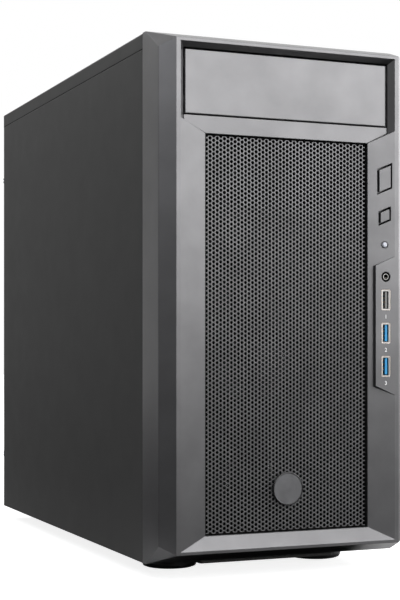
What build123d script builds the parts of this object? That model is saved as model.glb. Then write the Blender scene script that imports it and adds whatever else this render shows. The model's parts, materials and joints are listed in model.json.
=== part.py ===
from build123d import *
from math import cos, radians, sin
import os

# A small desktop computer tower.  X runs across the front, +Y runs from the front to the back
# and +Z is up.  The origin is on the floor, in the middle of the tower's footprint.

# ---- Body -----------------------------------------------------------------------------------
WIDTH = 184.4             # over the side panels
HEIGHT = 350.0            # underside of the body to its top, without the feet
DEPTH = 393.8             # front face of the bezel to the rear fold of the side panels
FOOT_HEIGHT = 10.3
SHELF_DEPTH = 11.0        # the card shelf stands this far behind the rear panel
SHELF_TUCK = 1.4          # of which this much is inside the depth of the side panels

SHEET = 1.0               # steel sheet
SEAM = 0.5                # visible gap between neighbouring covers
FIT = 0.4                 # running clearance between parts that slide or drop in
PLASTIC = 2.6             # wall of the moulded bezel
SCREW_HOLE = 2.2          # radius of a clearance hole for the fan and supply screws
SCREW_SHANK = 2.1
SCREW_HEAD = 3.6
SCREW_CAP = 1.8           # thickness of a screw head

# ---- Bezel ----------------------------------------------------------------------------------
BEZEL_DEPTH = 34.6
BEZEL_SEAT = 0.3          # gap between the bezel and the steel behind it
FACE_SIDE = 10.3          # margins outside the flat front ring: sides, foot and head
FACE_LOW = 8.7
FACE_HEAD = 8.4
SIDE_CHAMFER = 5.4        # depth of the chamfer beside the front ring
TOP_CHAMFER = 29.5        # depth of the long slopes above and below it
CORNER_RISE = 14.6        # where a corner facet meets the side, from the nearer end of the body
RING_SIDE = 2.95          # width of the front ring at the sides, foot and head
RING_FOOT = 2.1
RING_HEAD = 2.1
BEVEL_DEPTH = 4.4         # from the front ring down to the mesh opening
MESH_SIDE = 21.8          # from the outer edge of the ring to the mesh opening
MESH_FOOT = 11.0
MESH_HEAD = 68.5          # from the top of the body down to the mesh opening
POCKET_RISE = 8.7         # the bay pocket's slanted ends meet the ring this far above the mesh
POCKET_DRAFT = 3.4
POCKET_FLOOR = 6.5
FRONT_WALL = 7.2          # depth of the back of the moulded front wall
BAY_FRAME = 4.0           # thick frame above the bay cover
TUNNEL_WALL = 2.0
CLIP = (5.0, 8.0)
CLIP_REACH = 9.0          # the clips enter the chassis by this much
CLIP_INSET = 10.0
CLIP_ENDS = 28.0          # height of the end clips, from the nearer end of the body
POST_RADIUS = 2.5         # posts that carry the small circuit board
POST_INSET = 5.9

# ---- Front trim -----------------------------------------------------------------------------
MESH_DEPTH = 6.2          # depth of the mesh face behind the ring
MESH_GAP = 1.2
MESH_RIM = 3.0
HOLE_PITCH = 15.0
HOLE_FLATS = 12.0
TRIM_FACE = 4.5           # depth of the bay cover and the sill below it
TRIM_GAP = 1.0
SILL_GAP = 0.5            # seam beside the sill
SILL_SEAM = 0.8           # and between it and the bay cover
COVER_GAP = 1.35          # between the bay cover and the foot of the pocket's walls
COVER_HEIGHT = 41.8
COVER_DROP = 35.5         # top of the body down to the middle of the bay cover
COVER_ARM = 14.0
COVER_RIM = 2.0
GUIDE_SPACING = 24.0      # guide ribs on the cover's arms
GUIDE_HEIGHT = 6.0
BADGE_RADIUS = 10.8
BADGE_THICK = 1.4
BADGE_RISE = 28.6         # from the foot of the mesh opening to the middle of the badge

# ---- Buttons, lamp and sockets on the right of the front ---------------------------------------
SLANT = 0.43              # rise of every slanted edge, per unit across
CONTROL_INSET = 10.0      # from the outer edge of the ring to the middle of the controls
POWER_DROP = 92.5         # top of the body down to the power button
POWER_SIZE = (7.7, 14.8)
RESET_DROP = 25.5         # each control below the one above it
RESET_SIZE = (5.9, 7.1)
LAMP_DROP = 19.7
JACK_DROP = 21.9
USB_DROP = 15.8
BUTTON_GAP = 1.3
BUTTON_PROUD = 0.5
BUTTON_FLANGE = 1.0
BUTTON_STEM = 1.8
BUTTON_TRAVEL = 1.6
LAMP_RADIUS = 1.9
LAMP_RIM = 0.6            # dark ring of shadow round the lens
LAMP_FLANGE = 1.0         # the lens widens to this much past the ring behind the wall
BOSS_INSET = 7.9          # flat boss round the sockets: beside, above and below their middles
BOSS_HEAD = 7.6
BOSS_FOOT = 13.3
JACK_RADIUS = 3.5
JACK_BORE = 3.5
JACK_BODY = (8.4, 7.6)
USB_PITCH = 22.65
USB_COUNT = 3
USB_WIDTH = 6.8
USB_LENGTH = 14.0
USB_CORNER = 1.0
USB_CAVITY = (4.5, 12.0)
USB_TONGUE = (1.8, 11.0)
USB_REACH = 9.0
SOCKET_FIT = 0.2          # clearance round a socket, and how far its rim sits below the boss
BOARD_DEPTH = 15.5        # front of the small circuit board behind the controls
BOARD_THICK = 1.6
BOARD_LEFT = 9.0
BOARD_RIGHT = 7.0
BOARD_HEAD = 18.0
SWITCH_BODY = (6.0, 2.4)
SWITCH_CAP = (1.6, 0.8)

# ---- Chassis --------------------------------------------------------------------------------
TOP_FOLD = 10.5           # visible side fold of the top cover
TOP_RADIUS = 1.2
RAIL_INSET = 2.3          # outer face of the side rails, in from the side of the body
RAIL_FOOT = 22.0          # height of the lower rails
RAIL_HEAD = 30.0          # reach of the upper rails below the top
BACK_INSET = 2.4          # inner face of the rear panel, in from the rear of the body
LIP_INSET = 41.7          # pressed lip under the front of the base pan
LIP_DROP = 3.2
LIP_DEPTH = 20.0
CAGE_DROP = 6.6           # floor of the bay cage below the bay cover
CAGE_LENGTH = 154.0
CAGE_LIP = 5.0
CAGE_CUT = (80.0, 90.0)   # lightening cut in the cage floor
CAGE_CUT_START = 40.0
CAGE_SLOT = (22.0, 5.0)   # drive screw slots in the cage walls
CAGE_SLOT_FIRST = 28.0
CAGE_SLOT_PITCH = 50.0
BAY_SIDE = 0.3            # the bay is wider than its cover by this much a side
CABLE_SLOT = (24.0, 9.0)
CABLE_SLOT_DROP = 18.5    # below the power button
TRAY_INSET = 8.4          # board tray, in from the side rails
TRAY_START = 110.0
TRAY_MARGIN = 30.0
TRAY_SLOT = (34.0, 14.0)
BACKPLATE = 96.0          # opening in the tray behind the processor
BRACKET_X = -20.0
BRACKET_START = 66.0
BRACKET_LENGTH = 106.0
BRACKET_FLANGE = 12.0
BRACKET_SLOT = (70.0, 12.0)
BRACKET_SLOTS = 4
BRACKET_MARGIN = 44.0
HARD_DRIVE = (26.1, 101.6, 147.0)
HARD_DRIVE_DROP = 45.5    # below the middle of the drive bracket
PLATTER_RADIUS = 38.0
SMALL_DRIVE = (7.0, 69.85, 100.0)
SMALL_DRIVE_DROP = 75.0   # below the floor of the bay cage

# ---- Side panels ----------------------------------------------------------------------------
HOOK_COUNT = 4
HOOK_FIRST = 80.0
HOOK_LAST = 56.4          # last hook, in from the rear of the chassis
HOOK_SHANK = 5.0
HOOK_TONGUE = 10.0
HOOK_TALL = 4.0
HOOK_FOOT = 12.0          # rows of hooks above the foot and below the head of the body
HOOK_HEAD = 21.0
PANEL_TRAVEL = 12.0
PANEL_HEM = 4.0
REAR_FOLD = 13.7
THUMB_LOW = 46.0
THUMB_DROP = 58.0         # upper thumb screw below the top of the body
THUMB_INSET = 7.0
THUMB_RADIUS = 5.8
THUMB_GRIPS = 12
THUMB_LENGTH = 7.0
THUMB_SHANK = 1.6
THUMB_REACH = 10.0
THUMB_FIT = 0.3

# ---- Feet -----------------------------------------------------------------------------------
FOOT_RADIUS = 19.3
FRONT_FOOT_INSET = 35.7
FRONT_FOOT_DEPTH = 77.5
REAR_FOOT_INSET = 45.2
REAR_FOOT_BACK = 48.8     # in from the rear of the body
RIVET_RADIUS = 2.9
RIVET_HEAD = (5.0, 2.0)
PAD_RADIUS = 13.0
PAD_THICK = 3.0
FOOT_LIFT = 0.5

# ---- Fans -----------------------------------------------------------------------------------
FRONT_FAN = 120.0
FRONT_FAN_HOLES = 105.0
FRONT_FAN_GAP = 4.0       # between the two front fans
FRONT_FAN_SHARE = 9 / 14  # share of the spare height that is left below them
SMALL_FAN = 92.0
SMALL_FAN_HOLES = 82.5
REAR_FAN_X = -33.0
REAR_FAN_DROP = 77.0      # middle of the rear fan below the power supply
VENT_PITCH = 11.0
VENT_WEB = 2.0
VENT_COUNT = 7
FAN_THICK = 25.0
FAN_WALL = 2.0
FAN_CORNER = 4.0
HUB_SHARE = 0.33
BLADES = 7
BLADE_THICK = 1.4
BLADE_DEPTH = 15.0        # how much of the fan's thickness a blade takes up
BLADE_ROOT = 2.0
ROOT_TILT = 50.0
TIP_TILT = 30.0
TIP_GAP = 1.5
FAN_FLANGE = 4.0
STRUT = 3.0
SHAFT_RADIUS = 2.0
SHAFT_CLEARANCE = 0.08

# ---- Main board -----------------------------------------------------------------------------
MAIN_SIDE = 244.0         # front to back
MAIN_REAR_GAP = 1.6
MAIN_LOW = 12.0
MAIN_HEAD = 6.0           # between the board and the power supply
MAIN_HOLE_EDGE = 12.0      # outer columns of holes, in from the front and back edges
MAIN_HOLE_HEAD = 10.0      # upper row, below the top of the board
MAIN_HOLE_MIDDLE = 122.0   # middle row, below the top of the board and the processor
MAIN_HOLE_FOOT = 10.0      # lower row, above the foot of the board
BOARD_HOLE = 1.9
BOARD_SCREW = 1.5
STANDOFF = 6.5
STANDOFF_RADIUS = 3.0
PORT_PLATE_WIDTH = 44.45
PORT_PLATE_LEFT = 19.6    # its middle, from the face of the board
PORT_PLATE_FOOT = 13.925  # above the top card slot
PORT_PLATE_HEAD = 3.825   # below the top of the board
# each port block: its middle below the plate's top, width along Z, reach from the board, sockets
PORTS = (
    (18.175, 13.2, 26.0, 2), (41.675, 31.0, 11.0, 1), (66.175, 14.4, 16.0, 2),
    (86.175, 16.4, 28.0, 3), (106.175, 14.4, 16.0, 2), (134.175, 13.0, 33.0, 3),
)
PORT_WALL = 1.2
PORT_DEPTH = 20.0
PORT_TONGUE_GAP = (2.6, 1.6)
PORT_INSET = 0.4          # port faces, in from the rear of the body
SLOT_TOP = 79.5
SLOT_PITCH = 20.32
SLOT_COUNT = 4
SLOT_WINDOW = 12.2
SLOT_RIGHT_GAP = 6.4      # slot windows end this far from the face of the board
SLOT_LENGTH = 109.3
SLOT_SOCKETS = (89.0, 25.0, 25.0, 25.0)
SLOT_SOCKET = (7.5, 11.0)
SLOT_SOCKET_BACK = 47.0
BLANK_HEIGHT = 18.4
BLANK_TAB = 11.0
CARD_HOLE = 1.8
CARD_SCREW = 1.6
CPU_REAR = 91.4           # middle of the processor, in from the rear of the chassis
CPU_DROP = 61.0           # and below the top of the board
COOLER_SIDE = 90.0
COOLER_BASE = 5.0
COOLER_FIN = 34.0
FIN_PITCH = 6.0
FIN_GAP = 4.4
SOCKET_SIDE = 50.0
SOCKET_LID = 34.0
SOCKET_FRAME = 4.6
SOCKET_TALL = 8.0
MEMORY_COUNT = 2
MEMORY_PITCH = 10.0
MEMORY_FRONT = 69.0       # middle of the memory slots, in front of the processor
MEMORY_DROP = 74.0
MEMORY = (1.4, 133.4, 31.0)
MEMORY_SLOT = (6.6, 141.4, 9.0)
MEMORY_SEAT = 5.0
MEMORY_CHIP = (3.4, 10.0, 12.0)
CHIPSET = (36.0, 36.0, 9.0)
CHIPSET_SPOT = (42.6, 50.0)   # from the front and the foot of the board
REGULATOR = (12.0, 64.0, 22.0)
REGULATOR_BACK = 57.0     # behind the processor
HEATSINK_PITCH = 7.0
HEATSINK_GROOVE = 4.0
HEATSINK_BASE = 3.0
MAIN_POWER = (9.6, 51.6, 12.0)
MAIN_POWER_SPOT = (8.6, 60.0)  # from the front and the top of the board
DRIVE_PLUG = (14.0, 7.0)
DRIVE_PLUG_DROP = 44.0        # middle of the drive connectors below the middle row of holes
COIN_CELL = (10.5, 4.5)
COIN_CELL_SPOT = (88.6, 48.0)

# ---- Power supply ---------------------------------------------------------------------------
SUPPLY = (150.0, 140.0, 86.0)
SUPPLY_HEAD = 2.0         # below the top of the body
SUPPLY_SCREWS = (5.0, 16.0, 6.0)   # in from the sides, the foot and the head
SUPPLY_RIM = (10.0, 4.0)  # the rear panel laps the case by this much at the sides and ends
SUPPLY_LEDGE = 12.0
SUPPLY_FAN_MARGIN = 5.0
GUARD_RINGS = (16.0, 30.0, 44.0, 58.0)
GUARD_WIRE = 2.0
INLET_X = -40.0
INLET = (26.6, 19.6)
INLET_CAVITY = (24.0, 16.0, 15.5)
INLET_FLANGE = 1.6
INLET_PIN = (2.0, 4.0)
SWITCH_X = -4.0
SWITCH = (13.0, 19.0)
SWITCH_SWING = 20.0
SWITCH_WALL = 1.0
SWITCH_FLANGE = 1.2
SWITCH_PIVOT = 2.5        # the rocker's pivot, in from the rear of the chassis
ROCKER_OUTLINE = ((4.2, -7.4), (2.6, 0), (4.2, 7.4), (-1.5, 6.4), (-4.5, 0), (-1.5, -6.4))
PIVOT_RADIUS = 1.1
GRILLE_X = 36.0
GRILLE_SLOT = (56.0, 4.0)

os.makedirs("parts", exist_ok=True)

# ---- Places worked out from the sizes above -----------------------------------------------------
FRONT = -(DEPTH + SHELF_DEPTH - SHELF_TUCK) / 2
HALF = WIDTH / 2
FACE_HALF = HALF - FACE_SIDE
FACE_HIGH = HEIGHT - FACE_HEAD
MESH_HALF = FACE_HALF - MESH_SIDE
MESH_LOW = FACE_LOW + MESH_FOOT
MESH_HIGH = HEIGHT - MESH_HEAD
COVER_CENTRE = HEIGHT - COVER_DROP
COVER_WIDTH = 2 * (FACE_HALF - RING_SIDE - POCKET_DRAFT - COVER_GAP)
BADGE_HEIGHT = MESH_LOW + BADGE_RISE
CONTROL_X = FACE_HALF - CONTROL_INSET
POWER_HEIGHT = HEIGHT - POWER_DROP
RESET_HEIGHT = POWER_HEIGHT - RESET_DROP
LAMP_HEIGHT = RESET_HEIGHT - LAMP_DROP
JACK_HEIGHT = LAMP_HEIGHT - JACK_DROP
USB_TOP = JACK_HEIGHT - USB_DROP
BOSS_EDGE = CONTROL_X - BOSS_INSET
BOSS_HIGH = JACK_HEIGHT + BOSS_HEAD
BOSS_LOW = USB_TOP - (USB_COUNT - 1) * USB_PITCH - BOSS_FOOT
RAIL_X = HALF - RAIL_INSET
INNER_X = RAIL_X - SHEET
PLATE_FRONT = BEZEL_DEPTH + BEZEL_SEAT
CHASSIS_FRONT = PLATE_FRONT + SHEET
CHASSIS_BACK = DEPTH - BACK_INSET
REAR_FACE = CHASSIS_BACK + SHEET
BAY_HALF = COVER_WIDTH / 2 + BAY_SIDE
CAGE_FLOOR = COVER_CENTRE - COVER_HEIGHT / 2 - CAGE_DROP
TRAY_X = INNER_X - TRAY_INSET
HOOK_LOW = HOOK_FOOT
HOOK_HIGH = HEIGHT - HOOK_HEAD
HOOK_PITCH = (CHASSIS_BACK - HOOK_LAST - HOOK_FIRST) / (HOOK_COUNT - 1)
THUMB_HIGH = HEIGHT - THUMB_DROP
FRONT_FEET = (HALF - FRONT_FOOT_INSET, FRONT_FOOT_DEPTH)
REAR_FEET = (HALF - REAR_FOOT_INSET, DEPTH - REAR_FOOT_BACK)
LIP_HALF = HALF - LIP_INSET
SUPPLY_LOW = HEIGHT - SUPPLY_HEAD - SUPPLY[2]
INLET_HEIGHT = SUPPLY_LOW + SUPPLY[2] / 2
FAN_ROOM = CAGE_FLOOR - SHEET - 2 * FRONT_FAN - FRONT_FAN_GAP
LOWER_FAN = SHEET + FAN_ROOM * FRONT_FAN_SHARE + FRONT_FAN / 2
FRONT_FAN_HEIGHTS = (LOWER_FAN, LOWER_FAN + FRONT_FAN + FRONT_FAN_GAP)
REAR_FAN_HEIGHT = SUPPLY_LOW - REAR_FAN_DROP
MAIN_FACE = TRAY_X - STANDOFF - BOARD_THICK
MAIN_TALL = SUPPLY_LOW - MAIN_HEAD - MAIN_LOW
MAIN_TOP = MAIN_LOW + MAIN_TALL
MAIN_FRONT = CHASSIS_BACK - MAIN_REAR_GAP - MAIN_SIDE
MAIN_MIDDLE = (MAIN_FRONT + MAIN_SIDE / 2, MAIN_LOW + MAIN_TALL / 2)
MAIN_HOLE_ROWS = (MAIN_LOW + MAIN_HOLE_FOOT, MAIN_TOP - MAIN_HOLE_MIDDLE, MAIN_TOP - MAIN_HOLE_HEAD)
MAIN_HOLE_COLUMNS = (
    MAIN_FRONT + MAIN_HOLE_EDGE, MAIN_MIDDLE[0], MAIN_FRONT + MAIN_SIDE - MAIN_HOLE_EDGE,
)
PORT_PLATE_X = MAIN_FACE - PORT_PLATE_LEFT
PORT_PLATE_LOW = SLOT_TOP + PORT_PLATE_FOOT
PORT_PLATE_HIGH = MAIN_TOP - PORT_PLATE_HEAD
SLOT_RIGHT = MAIN_FACE - SLOT_RIGHT_GAP
SLOT_LEFT = SLOT_RIGHT - SLOT_LENGTH
CPU_BACK = CHASSIS_BACK - CPU_REAR
CPU_HEIGHT = MAIN_TOP - CPU_DROP


# ---- Helpers --------------------------------------------------------------------------------
def back(depth):
    """The Y of a depth behind the front face."""
    return FRONT + depth


def up(height):
    """The Z of a height above the underside of the body."""
    return FOOT_HEIGHT + height


def front_plane(depth):
    """A plane parallel to the front: its x is X, its y is Z, and it faces forward."""
    return Plane.XZ.offset(-back(depth))


def side_plane(x):
    """A plane parallel to the sides: its x is Y, its y is Z, and it faces +X."""
    return Plane.YZ.offset(x)


def floor_plane(height):
    """A level plane at a height above the underside of the body."""
    return Plane.XY.offset(up(height))


def rectangle(x0, x1, y0, y1, mode=Mode.ADD):
    """A rectangle between two corners, in the sketch that is open."""
    with Locations(((x0 + x1) / 2, (y0 + y1) / 2)):
        Rectangle(x1 - x0, y1 - y0, mode=mode)


def slanted(centre, size, grow=0.0):
    """Corners of an upright-sided parallelogram whose top and foot run up to the right."""
    x, z = centre
    half_x = size[0] / 2 + grow
    half_z = size[1] / 2 + grow
    return [
        (x - half_x, z - half_z - SLANT * half_x),
        (x + half_x, z - half_z + SLANT * half_x),
        (x + half_x, z + half_z + SLANT * half_x),
        (x - half_x, z + half_z - SLANT * half_x),
    ]


def save(part, name):
    """Label a finished sub-part and write it."""
    part.label = name
    export_step(part, f"parts/{name}.step")


# ---- Bezel form -----------------------------------------------------------------------------
def facets():
    """The bezel's slanted outer faces, as planes that face outward."""
    low, high, face = up(0), up(HEIGHT), back(0)
    side, top = back(SIDE_CHAMFER), back(TOP_CHAMFER)
    planes = [
        Plane((0, face, up(FACE_HIGH)), x_dir=(1, 0, 0), z_dir=(0, FACE_HIGH - HEIGHT, TOP_CHAMFER)),
        Plane((0, face, up(FACE_LOW)), x_dir=(1, 0, 0), z_dir=(0, -FACE_LOW, -TOP_CHAMFER)),
    ]
    for hand in (-1, 1):
        ring, edge = hand * FACE_HALF, hand * HALF
        outward = (hand * SIDE_CHAMFER, FACE_HALF - HALF, 0)
        planes.append(Plane((ring, face, 0), x_dir=(0, 0, 1), z_dir=outward))
        for end, rise, z in ((low, 1, up(FACE_LOW)), (high, -1, up(FACE_HIGH))):
            a = Vector(ring, face, z)
            b = Vector(edge, side, end + rise * CORNER_RISE)
            c = Vector(edge, top, end)
            normal = (b - a).cross(c - a)
            if normal.X * hand < 0:
                normal = -normal
            planes.append(Plane(a, x_dir=b - a, z_dir=normal))
    return planes


def bezel_form(inset, first, last):
    """The faceted outer form with every face drawn in, between two depths."""
    with BuildPart() as form:
        with BuildSketch(front_plane(first)):
            rectangle(-HALF + inset, HALF - inset, up(inset), up(HEIGHT - inset))
        extrude(amount=first - last)
        for plane in facets():
            split(bisect_by=plane.offset(-inset), keep=Keep.BOTTOM)
    return form.part


POCKET_SLOPE = POCKET_RISE / (FACE_HALF - RING_SIDE - MESH_HALF)


def pocket_outline(draw_in):
    """The bay pocket's outline: upright sides, and slanted ends down to the mesh's corners."""
    side = FACE_HALF - RING_SIDE - draw_in
    head = FACE_HIGH - RING_HEAD - draw_in
    foot = MESH_HIGH + POCKET_SLOPE * (side - MESH_HALF)
    return [
        (-side, up(head)), (side, up(head)), (side, up(foot)),
        (MESH_HALF, up(MESH_HIGH)), (-MESH_HALF, up(MESH_HIGH)), (-side, up(foot)),
    ]


def sill_outline(gap):
    """The flat trim between the bay cover and the mesh."""
    head = COVER_CENTRE - COVER_HEIGHT / 2 - SILL_SEAM
    side = FACE_HALF - RING_SIDE - POCKET_DRAFT - gap
    foot = MESH_HIGH + POCKET_SLOPE * (side - MESH_HALF + gap) + gap
    return [
        (-side, up(head)), (side, up(head)), (side, up(min(foot, head - 1))),
        (MESH_HALF - gap, up(MESH_HIGH)), (gap - MESH_HALF, up(MESH_HIGH)), (-side, up(min(foot, head - 1))),
    ]


shell = bezel_form(0, 0, BEZEL_DEPTH)
hollow = bezel_form(PLASTIC, FRONT_WALL, BEZEL_DEPTH)
ring_x = FACE_HALF - RING_SIDE
cover_low = COVER_CENTRE - COVER_HEIGHT / 2
cover_high = COVER_CENTRE + COVER_HEIGHT / 2
tunnel_x = COVER_WIDTH / 2 + TRIM_GAP
usb_spots = [(CONTROL_X, up(USB_TOP - n * USB_PITCH)) for n in range(USB_COUNT)]
clip_heights = (CLIP_ENDS, HEIGHT / 2, HEIGHT - CLIP_ENDS)
clip_spots = [(hand * (HALF - CLIP_INSET), up(z)) for hand in (-1, 1) for z in clip_heights]
post_heights = (BOSS_LOW - 3, LAMP_HEIGHT - 4, POWER_HEIGHT + POWER_SIZE[1] / 2 + 6)
post_spots = [(CONTROL_X - POST_INSET, up(z)) for z in post_heights]

with BuildPart() as front_bezel:
    add(shell)
    add(hollow, mode=Mode.SUBTRACT)
    # thick frame behind the bay pocket and the tunnel that the drives pass through
    with BuildSketch(front_plane(POCKET_FLOOR)):
        rectangle(-ring_x, ring_x, up(MESH_HIGH), up(cover_high + BAY_FRAME))
    extrude(amount=POCKET_FLOOR - FRONT_WALL - PLASTIC)
    with BuildSketch(front_plane(POCKET_FLOOR)):
        rectangle(
            -tunnel_x - TUNNEL_WALL, tunnel_x + TUNNEL_WALL,
            up(cover_low - TRIM_GAP - TUNNEL_WALL), up(cover_high + TRIM_GAP + TUNNEL_WALL),
        )
    extrude(amount=POCKET_FLOOR - BEZEL_DEPTH)
    # bosses for the clips, and the posts that carry the small circuit board
    with BuildSketch(front_plane(FRONT_WALL)):
        with Locations(*clip_spots):
            Rectangle(*CLIP)
    extrude(amount=FRONT_WALL - BEZEL_DEPTH)
    with BuildSketch(front_plane(FRONT_WALL)):
        with Locations(*post_spots):
            Circle(POST_RADIUS)
    extrude(amount=FRONT_WALL - BOARD_DEPTH)
    # inner bevels that fall from the ring to the mesh opening
    with BuildSketch(front_plane(0)):
        rectangle(-ring_x, ring_x, up(FACE_LOW + RING_FOOT), up(COVER_CENTRE))
    with BuildSketch(front_plane(BEVEL_DEPTH)):
        rectangle(-MESH_HALF, MESH_HALF, up(MESH_LOW), up(COVER_CENTRE))
    loft(mode=Mode.SUBTRACT)
    # bay pocket with drafted walls, its floor, and the openings right through
    with BuildSketch(front_plane(0)):
        Polygon(*pocket_outline(0), align=None)
    with BuildSketch(front_plane(BEVEL_DEPTH)):
        Polygon(*pocket_outline(POCKET_DRAFT), align=None)
    loft(mode=Mode.SUBTRACT)
    with BuildSketch(front_plane(BEVEL_DEPTH)):
        Polygon(*pocket_outline(POCKET_DRAFT), align=None)
    extrude(amount=BEVEL_DEPTH - POCKET_FLOOR, mode=Mode.SUBTRACT)
    with BuildSketch(front_plane(0)):
        rectangle(-tunnel_x, tunnel_x, up(cover_low - TRIM_GAP), up(cover_high + TRIM_GAP))
        rectangle(-MESH_HALF, MESH_HALF, up(MESH_LOW), up(MESH_HIGH))
    extrude(amount=-BEZEL_DEPTH, mode=Mode.SUBTRACT)
    # flat boss for the sockets, level with the ring
    with BuildSketch(front_plane(0)):
        Polygon(
            (BOSS_EDGE, up(BOSS_LOW)), (BOSS_EDGE, up(BOSS_HIGH)),
            (ring_x, up(BOSS_HIGH + SLANT * (ring_x - BOSS_EDGE))),
            (ring_x, up(BOSS_LOW - SLANT * (ring_x - BOSS_EDGE))), align=None,
        )
    extrude(amount=-FRONT_WALL)
    # openings for the sockets, the buttons and the lamp
    with BuildSketch(front_plane(0)):
        with Locations((CONTROL_X, up(JACK_HEIGHT))):
            Circle(JACK_RADIUS)
        with Locations(*usb_spots):
            RectangleRounded(USB_WIDTH, USB_LENGTH, USB_CORNER)
        with Locations((CONTROL_X, up(LAMP_HEIGHT))):
            Circle(LAMP_RADIUS + LAMP_RIM)
        Polygon(*slanted((CONTROL_X, up(POWER_HEIGHT)), POWER_SIZE, BUTTON_GAP), align=None)
        Polygon(*slanted((CONTROL_X, up(RESET_HEIGHT)), RESET_SIZE, BUTTON_GAP), align=None)
    extrude(amount=-FRONT_WALL, mode=Mode.SUBTRACT)
save(front_bezel.part, "front_bezel")

with BuildPart() as bezel_clips:
    # pins with tapered ends that press into the front plate
    with BuildSketch(front_plane(BEZEL_DEPTH)):
        with Locations(*clip_spots):
            Rectangle(*CLIP)
    extrude(amount=-CLIP_REACH)
    chamfer(bezel_clips.faces().group_by(Axis.Y)[-1].edges(), CLIP[0] / 4)
save(bezel_clips.part, "bezel_clips")


# ---- Front trim -----------------------------------------------------------------------------
with BuildPart() as bay_sill:
    with BuildSketch(front_plane(TRIM_FACE)):
        Polygon(*sill_outline(SILL_GAP), align=None)
    extrude(amount=TRIM_FACE - POCKET_FLOOR)
save(bay_sill.part, "bay_sill")

mesh_x = MESH_HALF - MESH_GAP
mesh_low = MESH_LOW + MESH_GAP
mesh_high = MESH_HIGH - MESH_GAP
columns = int((mesh_x * 2 - HOLE_FLATS) / (HOLE_PITCH * cos(radians(30))) / 2) * 2 + 1
rows = int((mesh_high - mesh_low - HOLE_FLATS) / HOLE_PITCH / 2) * 2 + 1
column_pitch = HOLE_PITCH * cos(radians(30))

with BuildPart() as mesh_grille:
    with BuildSketch(front_plane(MESH_DEPTH)):
        rectangle(-mesh_x, mesh_x, up(mesh_low), up(mesh_high))
    extrude(amount=MESH_DEPTH - FRONT_WALL - SHEET)
    with BuildSketch(front_plane(FRONT_WALL)):
        rectangle(-MESH_HALF - MESH_RIM, MESH_HALF + MESH_RIM, up(MESH_LOW - MESH_RIM), up(mesh_high))
    extrude(amount=-SHEET)
    with BuildSketch(front_plane(MESH_DEPTH + SHEET)):
        rectangle(-mesh_x + SHEET, mesh_x - SHEET, up(mesh_low + SHEET), up(mesh_high - SHEET))
    extrude(amount=MESH_DEPTH - FRONT_WALL, mode=Mode.SUBTRACT)
    with BuildSketch(front_plane(MESH_DEPTH)):
        with Locations((0, up((mesh_low + mesh_high) / 2))):
            with GridLocations(2 * column_pitch, HOLE_PITCH, (columns + 1) // 2, rows):
                RegularPolygon(HOLE_FLATS / 2, 6, major_radius=False)
            with GridLocations(2 * column_pitch, HOLE_PITCH, (columns - 1) // 2, rows - 1):
                RegularPolygon(HOLE_FLATS / 2, 6, major_radius=False)
    extrude(amount=-SHEET, mode=Mode.SUBTRACT)
save(mesh_grille.part, "mesh_grille")

with BuildPart() as badge_disc:
    with BuildSketch(front_plane(MESH_DEPTH)):
        with Locations((0, up(BADGE_HEIGHT))):
            Circle(BADGE_RADIUS)
    extrude(amount=BADGE_THICK)
    chamfer(badge_disc.faces().sort_by(Axis.Y)[0].edges(), 0.5)
save(badge_disc.part, "badge_disc")

with BuildPart() as bay_cover:
    with BuildSketch(front_plane(TRIM_FACE)):
        rectangle(-COVER_WIDTH / 2, COVER_WIDTH / 2, up(cover_low), up(cover_high))
    extrude(amount=-COVER_ARM)
    fillet(bay_cover.faces().sort_by(Axis.Y)[0].edges(), 0.6)
    with BuildSketch(front_plane(TRIM_FACE + PLASTIC)):
        rectangle(
            COVER_RIM - COVER_WIDTH / 2, COVER_WIDTH / 2 - COVER_RIM,
            up(cover_low + COVER_RIM), up(cover_high - COVER_RIM),
        )
    extrude(amount=-COVER_ARM, mode=Mode.SUBTRACT)
    # guide ribs on the two arms
    for hand in (-1, 1):
        with BuildSketch(front_plane(TRIM_FACE + PLASTIC)):
            with Locations((hand * COVER_WIDTH / 2, up(COVER_CENTRE))):
                with GridLocations(0, GUIDE_SPACING, 1, 2):
                    Rectangle(2 * TRIM_GAP - FIT, GUIDE_HEIGHT)
        extrude(amount=PLASTIC - COVER_ARM)
save(bay_cover.part, "bay_cover")


# ---- Buttons, lamp and sockets --------------------------------------------------------------
bevel_slope = BEVEL_DEPTH / (ring_x - MESH_HALF)


def bevel_depth(x):
    """Depth of the right bevel's surface."""
    return (ring_x - x) * bevel_slope


def push_button(height, size):
    """A button whose face lies on the bevel, with a flange behind the wall and a stem."""
    stem_end = BOARD_DEPTH - SWITCH_BODY[1] - SWITCH_CAP[1] - BUTTON_TRAVEL - FIT
    with BuildPart() as button:
        with BuildSketch(front_plane(-BUTTON_FLANGE)):
            Polygon(*slanted((CONTROL_X, up(height)), size), align=None)
        extrude(amount=-BUTTON_FLANGE - FRONT_WALL - FIT)
        with BuildSketch(front_plane(FRONT_WALL + FIT / 2)):
            Polygon(*slanted((CONTROL_X, up(height)), size, BUTTON_GAP + BUTTON_FLANGE), align=None)
        extrude(amount=-BUTTON_FLANGE)
        with BuildSketch(front_plane(FRONT_WALL)):
            with Locations((CONTROL_X, up(height))):
                Circle(BUTTON_STEM)
        extrude(amount=FRONT_WALL - stem_end)
        face = Plane(
            (CONTROL_X, back(bevel_depth(CONTROL_X) - BUTTON_PROUD), up(height)),
            x_dir=(0, 0, 1), z_dir=(-bevel_slope, -1, 0),
        )
        split(bisect_by=face, keep=Keep.BOTTOM)
    return button.part


save(push_button(POWER_HEIGHT, POWER_SIZE), "power_button")
save(push_button(RESET_HEIGHT, RESET_SIZE), "reset_button")

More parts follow.
